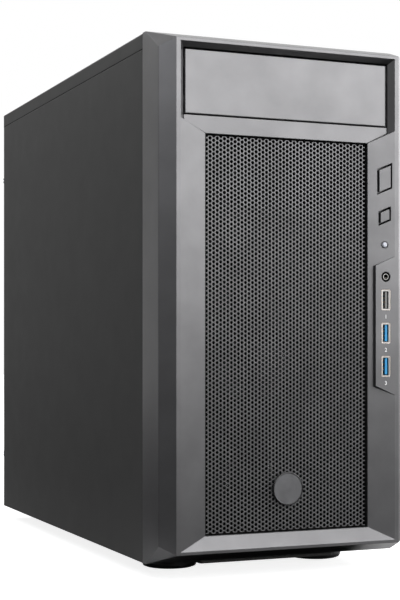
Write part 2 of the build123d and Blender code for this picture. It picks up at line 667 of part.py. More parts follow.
lamp_face = bevel_depth(CONTROL_X) - 0.8
with BuildPart() as power_lamp:
    with BuildSketch(front_plane(lamp_face)):
        with Locations((CONTROL_X, up(LAMP_HEIGHT))):
            Circle(LAMP_RADIUS)
    extrude(amount=lamp_face - BOARD_DEPTH)
    fillet(power_lamp.faces().sort_by(Axis.Y)[0].edges(), LAMP_RADIUS * 0.6)
    # shoulder that stops behind the wall
    with BuildSketch(front_plane(FRONT_WALL + FIT)):
        with Locations((CONTROL_X, up(LAMP_HEIGHT))):
            Circle(LAMP_RADIUS + LAMP_RIM + LAMP_FLANGE)
    extrude(amount=FRONT_WALL + FIT - BOARD_DEPTH)
save(power_lamp.part, "power_lamp")

with BuildPart() as control_board:
    with BuildSketch(front_plane(BOARD_DEPTH)):
        rectangle(
            CONTROL_X - BOARD_LEFT, CONTROL_X + BOARD_RIGHT, up(BOSS_LOW - 6), up(POWER_HEIGHT + BOARD_HEAD),
        )
    extrude(amount=-BOARD_THICK)
    # push switches soldered behind the two buttons
    with BuildSketch(front_plane(BOARD_DEPTH)):
        with Locations(*[(CONTROL_X, up(height)) for height in (POWER_HEIGHT, RESET_HEIGHT)]):
            Rectangle(SWITCH_BODY[0], SWITCH_BODY[0])
    extrude(amount=SWITCH_BODY[1])
    with BuildSketch(front_plane(BOARD_DEPTH - SWITCH_BODY[1])):
        with Locations(*[(CONTROL_X, up(height)) for height in (POWER_HEIGHT, RESET_HEIGHT)]):
            Circle(SWITCH_CAP[0])
    extrude(amount=SWITCH_CAP[1])
save(control_board.part, "control_board")

tongue_shift = (USB_CAVITY[0] - USB_TONGUE[0]) / 4
usb_shell = (USB_WIDTH - 2 * SOCKET_FIT, USB_LENGTH - 2 * SOCKET_FIT, USB_CORNER - SOCKET_FIT)
with BuildPart() as usb_sockets:
    with BuildSketch(front_plane(SOCKET_FIT)):
        with Locations(*usb_spots):
            RectangleRounded(*usb_shell)
            Rectangle(*USB_CAVITY, mode=Mode.SUBTRACT)
    extrude(amount=SOCKET_FIT - BOARD_DEPTH)
    # closed backs, and the tongues that carry the contacts
    with BuildSketch(front_plane(SOCKET_FIT + USB_REACH)):
        with Locations(*usb_spots):
            Rectangle(*USB_CAVITY)
    extrude(amount=SOCKET_FIT + USB_REACH - BOARD_DEPTH)
    with BuildSketch(front_plane(SHEET)):
        with Locations(*[(x + tongue_shift, z) for x, z in usb_spots]):
            Rectangle(*USB_TONGUE)
    extrude(amount=SHEET - USB_REACH - FIT)
save(usb_sockets.part, "usb_sockets")

with BuildPart() as audio_jack:
    with BuildSketch(front_plane(SOCKET_FIT)):
        with Locations((CONTROL_X, up(JACK_HEIGHT))):
            Circle(JACK_RADIUS - SOCKET_FIT / 2)
    extrude(amount=SOCKET_FIT - BOARD_DEPTH)
    with BuildSketch(front_plane(FRONT_WALL)):
        with Locations((CONTROL_X, up(JACK_HEIGHT))):
            Rectangle(*JACK_BODY)
    extrude(amount=FRONT_WALL - BOARD_DEPTH)
    with BuildSketch(front_plane(SOCKET_FIT)):
        with Locations((CONTROL_X, up(JACK_HEIGHT))):
            Circle(JACK_BORE / 2)
    extrude(amount=3 - BOARD_DEPTH, mode=Mode.SUBTRACT)
save(audio_jack.part, "audio_jack")


# ---- Chassis --------------------------------------------------------------------------------
hook_slot = HOOK_SHANK + PANEL_TRAVEL + 1.5
hook_starts = [back(HOOK_FIRST + n * HOOK_PITCH) for n in range(HOOK_COUNT)]


def hook_slots(height):
    """Slots for one row of panel hooks, in the sketch that is open on a side plane."""
    tall = HOOK_TALL + 2
    for start in hook_starts:
        rectangle(start - 0.6, start - 0.6 + hook_slot, up(height - tall / 2), up(height + tall / 2))


with BuildPart() as base_pan:
    with BuildSketch(front_plane(CHASSIS_FRONT)):
        rectangle(-RAIL_X, RAIL_X, up(0), up(RAIL_FOOT))
        rectangle(-INNER_X, INNER_X, up(SHEET), up(RAIL_FOOT), mode=Mode.SUBTRACT)
    extrude(amount=CHASSIS_FRONT - CHASSIS_BACK)
    # lip pressed down between the front feet
    with BuildSketch(floor_plane(-LIP_DROP)):
        rectangle(-LIP_HALF, LIP_HALF, back(CHASSIS_FRONT), back(CHASSIS_FRONT + LIP_DEPTH))
    extrude(amount=LIP_DROP)
    fillet(base_pan.edges().filter_by(Axis.Z).group_by(Axis.Z)[0], 2)
    with BuildSketch(floor_plane(SHEET - LIP_DROP)):
        rectangle(
            SHEET - LIP_HALF, LIP_HALF - SHEET,
            back(CHASSIS_FRONT + SHEET), back(CHASSIS_FRONT + LIP_DEPTH - SHEET),
        )
    extrude(amount=LIP_DROP, mode=Mode.SUBTRACT)
    with BuildSketch(side_plane(-HALF)):
        hook_slots(HOOK_LOW)
    extrude(amount=WIDTH, mode=Mode.SUBTRACT)
    with BuildSketch(floor_plane(0)):
        for spot in (FRONT_FEET, REAR_FEET):
            with Locations((-spot[0], back(spot[1])), (spot[0], back(spot[1]))):
                Circle(RIVET_RADIUS + FIT / 4)
    extrude(amount=SHEET, mode=Mode.SUBTRACT)
save(base_pan.part, "base_pan")

fold_z = HEIGHT - TOP_FOLD
with BuildPart() as top_cover:
    with BuildSketch(front_plane(PLATE_FRONT)):
        rectangle(-HALF, HALF, up(fold_z), up(HEIGHT))
        rectangle(SHEET - HALF, HALF - SHEET, up(fold_z), up(HEIGHT - SHEET), mode=Mode.SUBTRACT)
    extrude(amount=PLATE_FRONT - DEPTH)
    fillet(top_cover.edges().filter_by(Axis.Y).group_by(Axis.Z)[-1], TOP_RADIUS)
    # the sides step inward below the fold and become the upper rails
    for hand in (-1, 1):
        outer, inner = sorted((hand * RAIL_X, hand * INNER_X))
        ledge = sorted((hand * HALF, hand * INNER_X))
        with BuildSketch(front_plane(CHASSIS_FRONT)):
            rectangle(*ledge, up(fold_z), up(fold_z + SHEET))
            rectangle(outer, inner, up(HEIGHT - RAIL_HEAD), up(fold_z + SHEET))
        extrude(amount=CHASSIS_FRONT - CHASSIS_BACK)
    with BuildSketch(side_plane(-HALF)):
        hook_slots(HOOK_HIGH)
    extrude(amount=WIDTH, mode=Mode.SUBTRACT)
save(top_cover.part, "top_cover")

with BuildPart() as front_plate:
    with BuildSketch(front_plane(PLATE_FRONT)):
        rectangle(-INNER_X, INNER_X, up(0), up(HEIGHT - SHEET))
        rectangle(
            -BAY_HALF, BAY_HALF, up(CAGE_FLOOR + SHEET), up(cover_high + TRIM_GAP + TUNNEL_WALL),
            mode=Mode.SUBTRACT,
        )
        with Locations(*[(0, up(z)) for z in FRONT_FAN_HEIGHTS]):
            Circle(FRONT_FAN / 2 - FAN_WALL - SHEET, mode=Mode.SUBTRACT)
            with GridLocations(FRONT_FAN_HOLES, FRONT_FAN_HOLES, 2, 2):
                Circle(SCREW_HOLE, mode=Mode.SUBTRACT)
        with Locations(*clip_spots):
            Rectangle(CLIP[0] + 2 * FIT, CLIP[1] + 2 * FIT, mode=Mode.SUBTRACT)
        with Locations((CONTROL_X, up(POWER_HEIGHT - CABLE_SLOT_DROP))):
            SlotOverall(*CABLE_SLOT, rotation=90, mode=Mode.SUBTRACT)
    extrude(amount=-SHEET)
save(front_plate.part, "front_plate")

slot_heights = [SLOT_TOP - n * SLOT_PITCH for n in range(SLOT_COUNT)]
supply_top = SUPPLY_LOW + SUPPLY[2]
supply_screw_x = SUPPLY[0] / 2 - SUPPLY_SCREWS[0]
supply_screw_heights = (SUPPLY_LOW + SUPPLY_SCREWS[1], supply_top - SUPPLY_SCREWS[2])
supply_screw_spots = [(hand * supply_screw_x, up(z)) for hand in (-1, 1) for z in supply_screw_heights]
fan_screw_x = [REAR_FAN_X + i * SMALL_FAN_HOLES / 2 for i in (-1, 1)]
fan_screw_heights = [REAR_FAN_HEIGHT + i * SMALL_FAN_HOLES / 2 for i in (-1, 1)]
fan_screw_spots = [(x, up(z)) for x in fan_screw_x for z in fan_screw_heights]
shelf_screws = [(back(REAR_FACE + SHELF_DEPTH / 2), up(height)) for height in slot_heights]
shelf_rise = BLANK_HEIGHT / 2 + BEZEL_SEAT
blank_x = SLOT_LEFT + BEZEL_SEAT
shelf_x = blank_x + SHEET
supply_rim_x = SUPPLY[0] / 2 - SUPPLY_RIM[0]
with BuildPart() as rear_panel:
    with BuildSketch(front_plane(CHASSIS_BACK)):
        rectangle(-RAIL_X, RAIL_X, up(0), up(HEIGHT - SHEET))
        rectangle(
            -supply_rim_x, supply_rim_x, up(SUPPLY_LOW + SUPPLY_RIM[1]), up(supply_top - SUPPLY_RIM[1]),
            mode=Mode.SUBTRACT,
        )
        with Locations(*supply_screw_spots):
            Circle(SCREW_HOLE, mode=Mode.SUBTRACT)
        rectangle(
            PORT_PLATE_X - PORT_PLATE_WIDTH / 2, PORT_PLATE_X + PORT_PLATE_WIDTH / 2,
            up(PORT_PLATE_LOW), up(PORT_PLATE_HIGH), mode=Mode.SUBTRACT,
        )
        for height in slot_heights:
            rectangle(
                SLOT_LEFT, SLOT_RIGHT, up(height - SLOT_WINDOW / 2), up(height + SLOT_WINDOW / 2),
                mode=Mode.SUBTRACT,
            )
        with Locations((REAR_FAN_X, up(REAR_FAN_HEIGHT))):
            with HexLocations(VENT_PITCH / 2, VENT_COUNT, VENT_COUNT):
                RegularPolygon(
                    (VENT_PITCH - VENT_WEB) / 2, 6, major_radius=False, rotation=30, mode=Mode.SUBTRACT,
                )
        with Locations(*fan_screw_spots):
            Circle(SCREW_HOLE, mode=Mode.SUBTRACT)
        for hand in (-1, 1):
            with Locations(*[(hand * (HALF - THUMB_INSET), up(z)) for z in (THUMB_LOW, THUMB_HIGH)]):
                Circle(THUMB_SHANK + THUMB_FIT, mode=Mode.SUBTRACT)
    extrude(amount=-SHEET)
    # shelf that the card brackets are screwed to
    with BuildSketch(front_plane(REAR_FACE)):
        rectangle(
            shelf_x, shelf_x + SHEET, up(slot_heights[-1] - shelf_rise), up(slot_heights[0] + shelf_rise),
        )
    extrude(amount=-SHELF_DEPTH)
    with BuildSketch(side_plane(SLOT_LEFT)):
        with Locations(*shelf_screws):
            Circle(CARD_HOLE)
    extrude(amount=3 * SHEET, mode=Mode.SUBTRACT)
    # ledge under the power supply
    with BuildSketch(floor_plane(SUPPLY_LOW)):
        rectangle(-supply_rim_x, supply_rim_x, back(CHASSIS_BACK - SUPPLY_LEDGE), back(CHASSIS_BACK))
    extrude(amount=-SHEET)
save(rear_panel.part, "rear_panel")

board_holes = [(back(depth), up(height)) for depth in MAIN_HOLE_COLUMNS for height in MAIN_HOLE_ROWS]
tray_slots = [
    (back(MAIN_FRONT - TRAY_SLOT[1]), up(MAIN_LOW + MAIN_TALL * share)) for share in (0.25, 0.65)
] + [(back(MAIN_FRONT + MAIN_SIDE / 4), up((MAIN_TOP + HEIGHT - TRAY_MARGIN) / 2))]
with BuildPart() as board_tray:
    with BuildSketch(side_plane(TRAY_X)):
        rectangle(back(TRAY_START), back(CHASSIS_BACK), up(SHEET), up(HEIGHT - SHEET))
        with Locations((back(CPU_BACK), up(CPU_HEIGHT))):
            RectangleRounded(BACKPLATE, BACKPLATE, 8, mode=Mode.SUBTRACT)
        with Locations(*tray_slots):
            SlotOverall(*TRAY_SLOT, rotation=90, mode=Mode.SUBTRACT)
    extrude(amount=SHEET)
    for low in (SHEET, HEIGHT - 2 * SHEET):
        with BuildSketch(side_plane(TRAY_X + SHEET)):
            rectangle(back(TRAY_START), back(CHASSIS_BACK), up(low), up(low + SHEET))
        extrude(amount=INNER_X - TRAY_X - SHEET)
    with BuildSketch(side_plane(TRAY_X + SHEET)):
        rectangle(back(TRAY_START), back(TRAY_START + SHEET), up(TRAY_MARGIN), up(HEIGHT - TRAY_MARGIN))
    extrude(amount=INNER_X - TRAY_X - SHEET)
    # standoffs pressed into the tray
    with BuildSketch(side_plane(TRAY_X)):
        with Locations(*board_holes):
            RegularPolygon(STANDOFF_RADIUS, 6)
    extrude(amount=-STANDOFF)
save(board_tray.part, "board_tray")

cage_slot_depths = [CHASSIS_FRONT + CAGE_SLOT_FIRST + n * CAGE_SLOT_PITCH for n in range(3)]
cage_slots = [(back(depth), up(COVER_CENTRE - CAGE_DROP)) for depth in cage_slot_depths]
with BuildPart() as bay_cage:
    with BuildSketch(front_plane(CHASSIS_FRONT)):
        rectangle(-BAY_HALF - SHEET, BAY_HALF + SHEET, up(CAGE_FLOOR), up(HEIGHT - SHEET))
        rectangle(-BAY_HALF, BAY_HALF, up(CAGE_FLOOR + SHEET), up(HEIGHT - SHEET), mode=Mode.SUBTRACT)
        for hand in (-1, 1):
            lip = sorted((hand * BAY_HALF, hand * (BAY_HALF + CAGE_LIP)))
            rectangle(*lip, up(HEIGHT - 2 * SHEET), up(HEIGHT - SHEET))
    extrude(amount=-CAGE_LENGTH)
    with BuildSketch(side_plane(-BAY_HALF - SHEET)):
        with Locations(*cage_slots):
            SlotOverall(*CAGE_SLOT)
    extrude(amount=2 * (BAY_HALF + SHEET), mode=Mode.SUBTRACT)
    with BuildSketch(floor_plane(CAGE_FLOOR)):
        with Locations((0, back(CHASSIS_FRONT + CAGE_CUT_START + CAGE_CUT[1] / 2))):
            RectangleRounded(*CAGE_CUT, TRAY_SLOT[1] / 2)
    extrude(amount=SHEET, mode=Mode.SUBTRACT)
save(bay_cage.part, "bay_cage")

bracket_end = BRACKET_START + BRACKET_LENGTH
bracket_middle = BRACKET_START + BRACKET_LENGTH / 2
slot_pitch = (CAGE_FLOOR - 2 * BRACKET_MARGIN) / (BRACKET_SLOTS - 1)
with BuildPart() as drive_bracket:
    with BuildSketch(side_plane(BRACKET_X)):
        rectangle(back(BRACKET_START), back(bracket_end), up(SHEET), up(CAGE_FLOOR))
        with Locations((back(bracket_middle), up(CAGE_FLOOR / 2))):
            with GridLocations(0, slot_pitch, 1, BRACKET_SLOTS):
                SlotOverall(*BRACKET_SLOT, mode=Mode.SUBTRACT)
    extrude(amount=-SHEET)
    for low in (SHEET, CAGE_FLOOR - SHEET):
        with BuildSketch(floor_plane(low)):
            rectangle(BRACKET_X, BRACKET_X + BRACKET_FLANGE, back(BRACKET_START), back(bracket_end))
        extrude(amount=SHEET)
save(drive_bracket.part, "drive_bracket")

hard_drive_spot = (back(bracket_middle), up(CAGE_FLOOR / 2 - HARD_DRIVE_DROP))
with BuildPart() as hard_drive:
    with BuildSketch(side_plane(BRACKET_X - SHEET)):
        with Locations(hard_drive_spot):
            Rectangle(*HARD_DRIVE[1:])
    extrude(amount=-HARD_DRIVE[0])
    fillet(hard_drive.edges().filter_by(Axis.X), 3)
    # raised lid over the platters
    with BuildSketch(side_plane(BRACKET_X - SHEET - HARD_DRIVE[0])):
        with Locations(hard_drive_spot):
            RectangleRounded(HARD_DRIVE[1] - 10, HARD_DRIVE[2] - 10, 8)
            with Locations((0, 12)):
                Circle(PLATTER_RADIUS, mode=Mode.SUBTRACT)
    extrude(amount=1.2, mode=Mode.SUBTRACT)
save(hard_drive.part, "hard_drive")

with BuildPart() as solid_state_drive:
    with BuildSketch(side_plane(BRACKET_X)):
        with Locations((back(bracket_middle), up(CAGE_FLOOR - SMALL_DRIVE_DROP))):
            RectangleRounded(*SMALL_DRIVE[1:], 2)
    extrude(amount=SMALL_DRIVE[0])
    chamfer(solid_state_drive.faces().sort_by(Axis.X)[-1].edges(), 0.6)
save(solid_state_drive.part, "solid_state_drive")


# ---- Side panels ----------------------------------------------------------------------------
panel_top = fold_z - SEAM
for hand, side in ((-1, "left"), (1, "right")):
    with BuildPart() as side_panel:
        with BuildSketch(side_plane(hand * HALF)):
            rectangle(back(PLATE_FRONT), back(DEPTH), up(0), up(panel_top))
        extrude(amount=-hand * SHEET)
        # hem along the front, the foot and the head
        with BuildSketch(side_plane(hand * (HALF - SHEET))):
            rectangle(back(PLATE_FRONT), back(CHASSIS_BACK), up(0), up(panel_top))
            rectangle(
                back(PLATE_FRONT + PANEL_HEM), back(CHASSIS_BACK), up(PANEL_HEM), up(panel_top - PANEL_HEM),
                mode=Mode.SUBTRACT,
            )
        extrude(amount=-hand * (RAIL_INSET - SHEET - FIT))
        # rear fold that the thumb screws pass through
        inner, outer = sorted((hand * (HALF - REAR_FOLD), hand * HALF))
        with BuildSketch(front_plane(DEPTH - SHEET)):
            rectangle(inner, outer, up(PANEL_HEM), up(panel_top - PANEL_HEM))
            with Locations(*[(hand * (HALF - THUMB_INSET), up(z)) for z in (THUMB_LOW, THUMB_HIGH)]):
                Circle(THUMB_SHANK + THUMB_FIT, mode=Mode.SUBTRACT)
        extrude(amount=-SHEET)
        # hooks that reach through the rails and forward behind them
        for height in (HOOK_LOW, HOOK_HIGH):
            low, high = up(height) - HOOK_TALL / 2, up(height) + HOOK_TALL / 2
            with BuildSketch(side_plane(hand * (HALF - SHEET))):
                for start in hook_starts:
                    rectangle(start, start + HOOK_SHANK, low, high)
            extrude(amount=-hand * (RAIL_INSET + SHEET + FIT))
            with BuildSketch(side_plane(hand * (INNER_X - FIT))):
                for start in hook_starts:
                    rectangle(start - HOOK_TONGUE, start, low, high)
            extrude(amount=-hand * SHEET)
        fillet(side_panel.edges().filter_by(Axis.Z).sort_by(Axis.X)[0 if hand < 0 else -1:][:1], 0.4)
    save(side_panel.part, f"{side}_side_panel")

    # captive screws that go with the panel
    with BuildPart() as thumb_screws:
        for spot in [(hand * (HALF - THUMB_INSET), up(z)) for z in (THUMB_LOW, THUMB_HIGH)]:
            with BuildSketch(front_plane(DEPTH)):
                with Locations(spot):
                    Circle(THUMB_RADIUS)
                    with PolarLocations(THUMB_RADIUS, THUMB_GRIPS):
                        Circle(THUMB_RADIUS / 8, mode=Mode.SUBTRACT)
            extrude(amount=-THUMB_LENGTH)
            with BuildSketch(front_plane(DEPTH - THUMB_REACH)):
                with Locations(spot):
                    Circle(THUMB_SHANK)
            extrude(amount=-THUMB_REACH)
    save(thumb_screws.part, f"{side}_thumb_screws")


# ---- Feet -----------------------------------------------------------------------------------
foot_spots = {
    "front_left_foot": (-FRONT_FEET[0], FRONT_FEET[1]),
    "front_right_foot": (FRONT_FEET[0], FRONT_FEET[1]),
    "rear_left_foot": (-REAR_FEET[0], REAR_FEET[1]),
    "rear_right_foot": (REAR_FEET[0], REAR_FEET[1]),
}
for name, (x, depth) in foot_spots.items():
    edge = x + FOOT_RADIUS
    with BuildPart() as foot:
        with BuildSketch(Plane.XZ.offset(-back(depth))):
            with BuildLine():
                Polyline(
                    (x, FOOT_HEIGHT), (edge - 1.2, FOOT_HEIGHT), (edge, FOOT_HEIGHT - 1.2),
                    (edge, FOOT_LIFT + 2.5), (edge - 1, FOOT_LIFT + 0.6), (edge - 2.6, FOOT_LIFT),
                    (x + PAD_RADIUS, FOOT_LIFT), (x + PAD_RADIUS, PAD_THICK), (x, PAD_THICK), close=True,
                )
            make_face()
        revolve(axis=Axis((x, back(depth), 0), (0, 0, 1)))
        # rivet up through the base pan
        with BuildSketch(Plane.XY.offset(FOOT_HEIGHT)):
            with Locations((x, back(depth))):
                Circle(RIVET_RADIUS)
        extrude(amount=SHEET)
        with BuildSketch(floor_plane(SHEET)):
            with Locations((x, back(depth))):
                Circle(RIVET_HEAD[0])
        extrude(amount=RIVET_HEAD[1])
    save(foot.part, name)

with BuildPart() as foot_pads:
    with BuildSketch(Plane.XY):
        with Locations(*[(x, back(depth)) for x, depth in foot_spots.values()]):
            Circle(PAD_RADIUS)
    extrude(amount=PAD_THICK)
    chamfer(foot_pads.faces().group_by(Axis.Z)[0].edges(), 0.8)
save(foot_pads.part, "foot_pads")


# ---- Fans -----------------------------------------------------------------------------------
def fan_frame(plane, size, hole_pitch):
    """A square fan frame behind a plane, with its motor seat and struts on the far side."""
    bore = size / 2 - FAN_WALL
    hub = size / 2 * HUB_SHARE
    with BuildPart() as frame:
        with BuildSketch(plane):
            RectangleRounded(size, size, FAN_CORNER)
            Circle(bore, mode=Mode.SUBTRACT)
            with GridLocations(hole_pitch, hole_pitch, 2, 2):
                Circle(SCREW_HOLE, mode=Mode.SUBTRACT)
        extrude(amount=-FAN_THICK)
        # waist between the two mounting flanges
        with BuildSketch(plane.offset(-FAN_FLANGE)):
            Rectangle(size + 1, size + 1)
            Circle(bore + 1.5, mode=Mode.SUBTRACT)
            with GridLocations(size * 0.8, size * 0.8, 2, 2):
                Rectangle(size * 0.22, size * 0.22, mode=Mode.SUBTRACT)
        extrude(amount=2 * FAN_FLANGE - FAN_THICK, mode=Mode.SUBTRACT)
        with BuildSketch(plane.offset(-FAN_THICK)):
            Circle(hub + 1)
            with PolarLocations((bore + 1) / 2, 4, start_angle=45):
                Rectangle(bore + 1, STRUT)
            Circle(SHAFT_RADIUS + SHAFT_CLEARANCE, mode=Mode.SUBTRACT)
        extrude(amount=STRUT)
    return frame.part


def fan_rotor(plane, size):
    """A hub cup with swept, tilted blades and the shaft that turns in the motor seat."""
    hub = size / 2 * HUB_SHARE
    tip = size / 2 - FAN_WALL - TIP_GAP
    with BuildPart() as rotor:
        with BuildSketch(plane.offset(-2)):
            Circle(hub)
        extrude(amount=2 + STRUT + FIT - FAN_THICK)
        fillet(rotor.faces().sort_by(Axis(plane.origin, plane.z_dir))[-1].edges(), 1.5)
        with BuildSketch(plane.offset(-FAN_THICK / 2)):
            Circle(SHAFT_RADIUS)
        extrude(amount=0.5 - FAN_THICK / 2)
        # blades twist from steep at the hub to flat at the tip
        for blade in range(BLADES):
            turn = radians(360 / BLADES * blade)
            outward = plane.x_dir * cos(turn) + plane.y_dir * sin(turn)
            middle = plane.origin - plane.z_dir * (FAN_THICK / 2 - 0.5)
            spoke = Plane(middle, x_dir=plane.z_dir.cross(outward), z_dir=outward)
            for radius, tilt in ((hub - BLADE_ROOT, ROOT_TILT), (tip - BLADE_ROOT, TIP_TILT)):
                with BuildSketch(spoke.offset(radius)):
                    Rectangle(BLADE_DEPTH / sin(radians(tilt)), BLADE_THICK, rotation=tilt)
            loft()
    return rotor.part


def facing(x, depth, height, direction):
    """A plane at a spot, facing a direction, for a fan or another bought-in piece."""
    across = (1, 0, 0) if direction[0] == 0 else (0, 1, 0)
    return Plane((x, back(depth), up(height)), x_dir=across, z_dir=direction)


for level, height in zip(("lower", "upper"), FRONT_FAN_HEIGHTS):
    mount = facing(0, CHASSIS_FRONT, height, (0, -1, 0))
    save(fan_frame(mount, FRONT_FAN, FRONT_FAN_HOLES), f"front_fan_frame_{level}")
    save(fan_rotor(mount, FRONT_FAN), f"front_fan_rotor_{level}")

rear_mount = facing(REAR_FAN_X, CHASSIS_BACK, REAR_FAN_HEIGHT, (0, 1, 0))
save(fan_frame(rear_mount, SMALL_FAN, SMALL_FAN_HOLES), "rear_fan_frame")
save(fan_rotor(rear_mount, SMALL_FAN), "rear_fan_rotor")

with BuildPart() as front_fan_screws:
    for height in FRONT_FAN_HEIGHTS:
        with BuildSketch(front_plane(PLATE_FRONT)):
            with Locations((0, up(height))):
                with GridLocations(FRONT_FAN_HOLES, FRONT_FAN_HOLES, 2, 2):
                    Circle(SCREW_HEAD)
        extrude(amount=SCREW_CAP)
        with BuildSketch(front_plane(PLATE_FRONT)):
            with Locations((0, up(height))):
                with GridLocations(FRONT_FAN_HOLES, FRONT_FAN_HOLES, 2, 2):
                    Circle(SCREW_SHANK)
        extrude(amount=-FAN_FLANGE)
save(front_fan_screws.part, "front_fan_screws")

with BuildPart() as rear_screws:
    with BuildSketch(front_plane(REAR_FACE)):
        with Locations(*supply_screw_spots, *fan_screw_spots):
            Circle(SCREW_HEAD)
    extrude(amount=-SCREW_CAP)
    with BuildSketch(front_plane(REAR_FACE)):
        with Locations(*supply_screw_spots, *fan_screw_spots):
            Circle(SCREW_SHANK)
    extrude(amount=FAN_FLANGE)
save(rear_screws.part, "rear_screws")


# ---- Main board -----------------------------------------------------------------------------
with BuildPart() as main_board:
    with BuildSketch(side_plane(MAIN_FACE)):
        with Locations((back(MAIN_MIDDLE[0]), up(MAIN_MIDDLE[1]))):
            Rectangle(MAIN_SIDE, MAIN_TALL)
        with Locations(*board_holes):
            Circle(BOARD_HOLE, mode=Mode.SUBTRACT)
    extrude(amount=BOARD_THICK)
save(main_board.part, "main_board")

with BuildPart() as board_screws:
    for reach, radius in ((-SCREW_CAP, STANDOFF_RADIUS), (BOARD_THICK, BOARD_SCREW)):
        with BuildSketch(side_plane(MAIN_FACE)):
            with Locations(*board_holes):
                Circle(radius)
        extrude(amount=reach)
save(board_screws.part, "board_screws")

with BuildPart() as processor_socket:
    with BuildSketch(side_plane(MAIN_FACE)):
        with Locations((back(CPU_BACK), up(CPU_HEIGHT))):
            RectangleRounded(SOCKET_SIDE, SOCKET_SIDE, 2)
    extrude(amount=-SOCKET_FRAME)
    with BuildSketch(side_plane(MAIN_FACE)):
        with Locations((back(CPU_BACK), up(CPU_HEIGHT))):
            RectangleRounded(SOCKET_LID, SOCKET_LID, 3)
    extrude(amount=-SOCKET_TALL)
save(processor_socket.part, "processor_socket")

cooler_base = MAIN_FACE - SOCKET_TALL
cooler_top = cooler_base - COOLER_BASE - COOLER_FIN
fin_count = int(COOLER_SIDE / FIN_PITCH) - 1
with BuildPart() as processor_cooler:
    with BuildSketch(side_plane(cooler_base)):
        with Locations((back(CPU_BACK), up(CPU_HEIGHT))):
            RectangleRounded(COOLER_SIDE, COOLER_SIDE, 2)
    extrude(amount=cooler_top - cooler_base)
    with BuildSketch(side_plane(cooler_base - COOLER_BASE)):
        with Locations((back(CPU_BACK), up(CPU_HEIGHT))):
            with GridLocations(FIN_PITCH, 0, fin_count, 1):
                Rectangle(FIN_GAP, COOLER_SIDE + 2)
    extrude(amount=-COOLER_FIN, mode=Mode.SUBTRACT)
save(processor_cooler.part, "processor_cooler")

cooler_mount = facing(cooler_top - FAN_THICK, CPU_BACK, CPU_HEIGHT, (-1, 0, 0))
save(fan_frame(cooler_mount, SMALL_FAN, SMALL_FAN_HOLES), "processor_fan_frame")
save(fan_rotor(cooler_mount, SMALL_FAN), "processor_fan_rotor")

memory_foot = MAIN_FACE - MEMORY_SLOT[2] + MEMORY_SEAT
memory_middle = (back(CPU_BACK - MEMORY_FRONT), up(MAIN_TOP - MEMORY_DROP))
with BuildPart() as memory_slots:
    with BuildSketch(side_plane(MAIN_FACE)):
        with Locations(memory_middle):
            with GridLocations(MEMORY_PITCH, 0, MEMORY_COUNT, 1):
                Rectangle(*MEMORY_SLOT[:2])
    extrude(amount=-MEMORY_SLOT[2])
    with BuildSketch(side_plane(memory_foot)):
        with Locations(memory_middle):
            with GridLocations(MEMORY_PITCH, 0, MEMORY_COUNT, 1):
                Rectangle(*MEMORY[:2])
    extrude(amount=-MEMORY_SEAT, mode=Mode.SUBTRACT)
save(memory_slots.part, "memory_slots")

with BuildPart() as memory_modules:
    with BuildSketch(side_plane(memory_foot)):
        with Locations(memory_middle):
            with GridLocations(MEMORY_PITCH, 0, MEMORY_COUNT, 1):
                Rectangle(*MEMORY[:2])
    extrude(amount=-MEMORY[2])
    with BuildSketch(side_plane(memory_foot - MEMORY_CHIP[1])):
        with Locations(memory_middle):
            with GridLocations(MEMORY_PITCH, MEMORY[1] / 8.4, MEMORY_COUNT, 8):
                Rectangle(*MEMORY_CHIP[:2])
    extrude(amount=-MEMORY_CHIP[2])
save(memory_modules.part, "memory_modules")

with BuildPart() as expansion_slots:
    for height, length in zip(slot_heights, SLOT_SOCKETS):
        spot = (back(CHASSIS_BACK - SLOT_SOCKET_BACK) - length / 2, up(height))
        with BuildSketch(side_plane(MAIN_FACE)):
            with Locations(spot):
                Rectangle(length, SLOT_SOCKET[0])
        extrude(amount=-SLOT_SOCKET[1])
        with BuildSketch(side_plane(MAIN_FACE - 3)):
            with Locations(spot):
                Rectangle(length - 3, 2)
        extrude(amount=-SLOT_SOCKET[1], mode=Mode.SUBTRACT)
save(expansion_slots.part, "expansion_slots")

with BuildPart() as board_heatsinks:
    chipset_spot = (back(MAIN_FRONT + CHIPSET_SPOT[0]), up(MAIN_LOW + CHIPSET_SPOT[1]))
    regulator_spot = (back(CPU_BACK + REGULATOR_BACK), up(CPU_HEIGHT))
    for spot, (wide, tall, reach) in ((chipset_spot, CHIPSET), (regulator_spot, REGULATOR)):
        with BuildSketch(side_plane(MAIN_FACE)):
            with Locations(spot):
                Rectangle(wide, tall)
        extrude(amount=-reach)
        with BuildSketch(side_plane(MAIN_FACE - HEATSINK_BASE)):
            with Locations(spot):
                with GridLocations(0, HEATSINK_PITCH, 1, int(tall / HEATSINK_PITCH)):
                    Rectangle(wide + 1, HEATSINK_GROOVE)
        extrude(amount=-reach, mode=Mode.SUBTRACT)
save(board_heatsinks.part, "board_heatsinks")

plug_depth = MAIN_FRONT + MAIN_POWER_SPOT[0]
with BuildPart() as board_connectors:
    # power connector, drive connectors and coin cell
    with BuildSketch(side_plane(MAIN_FACE)):
        with Locations((back(plug_depth), up(MAIN_TOP - MAIN_POWER_SPOT[1]))):
            Rectangle(*MAIN_POWER[:2])
        with Locations((back(plug_depth), up(MAIN_HOLE_ROWS[1] - DRIVE_PLUG_DROP))):
            with GridLocations(0, DRIVE_PLUG[1] + 3, 1, 4):
                Rectangle(*DRIVE_PLUG)
    extrude(amount=-MAIN_POWER[2])
    with BuildSketch(side_plane(MAIN_FACE)):
        with Locations((back(MAIN_FRONT + COIN_CELL_SPOT[0]), up(MAIN_LOW + COIN_CELL_SPOT[1]))):
            Circle(COIN_CELL[0])
    extrude(amount=-COIN_CELL[1])
save(board_connectors.part, "board_connectors")

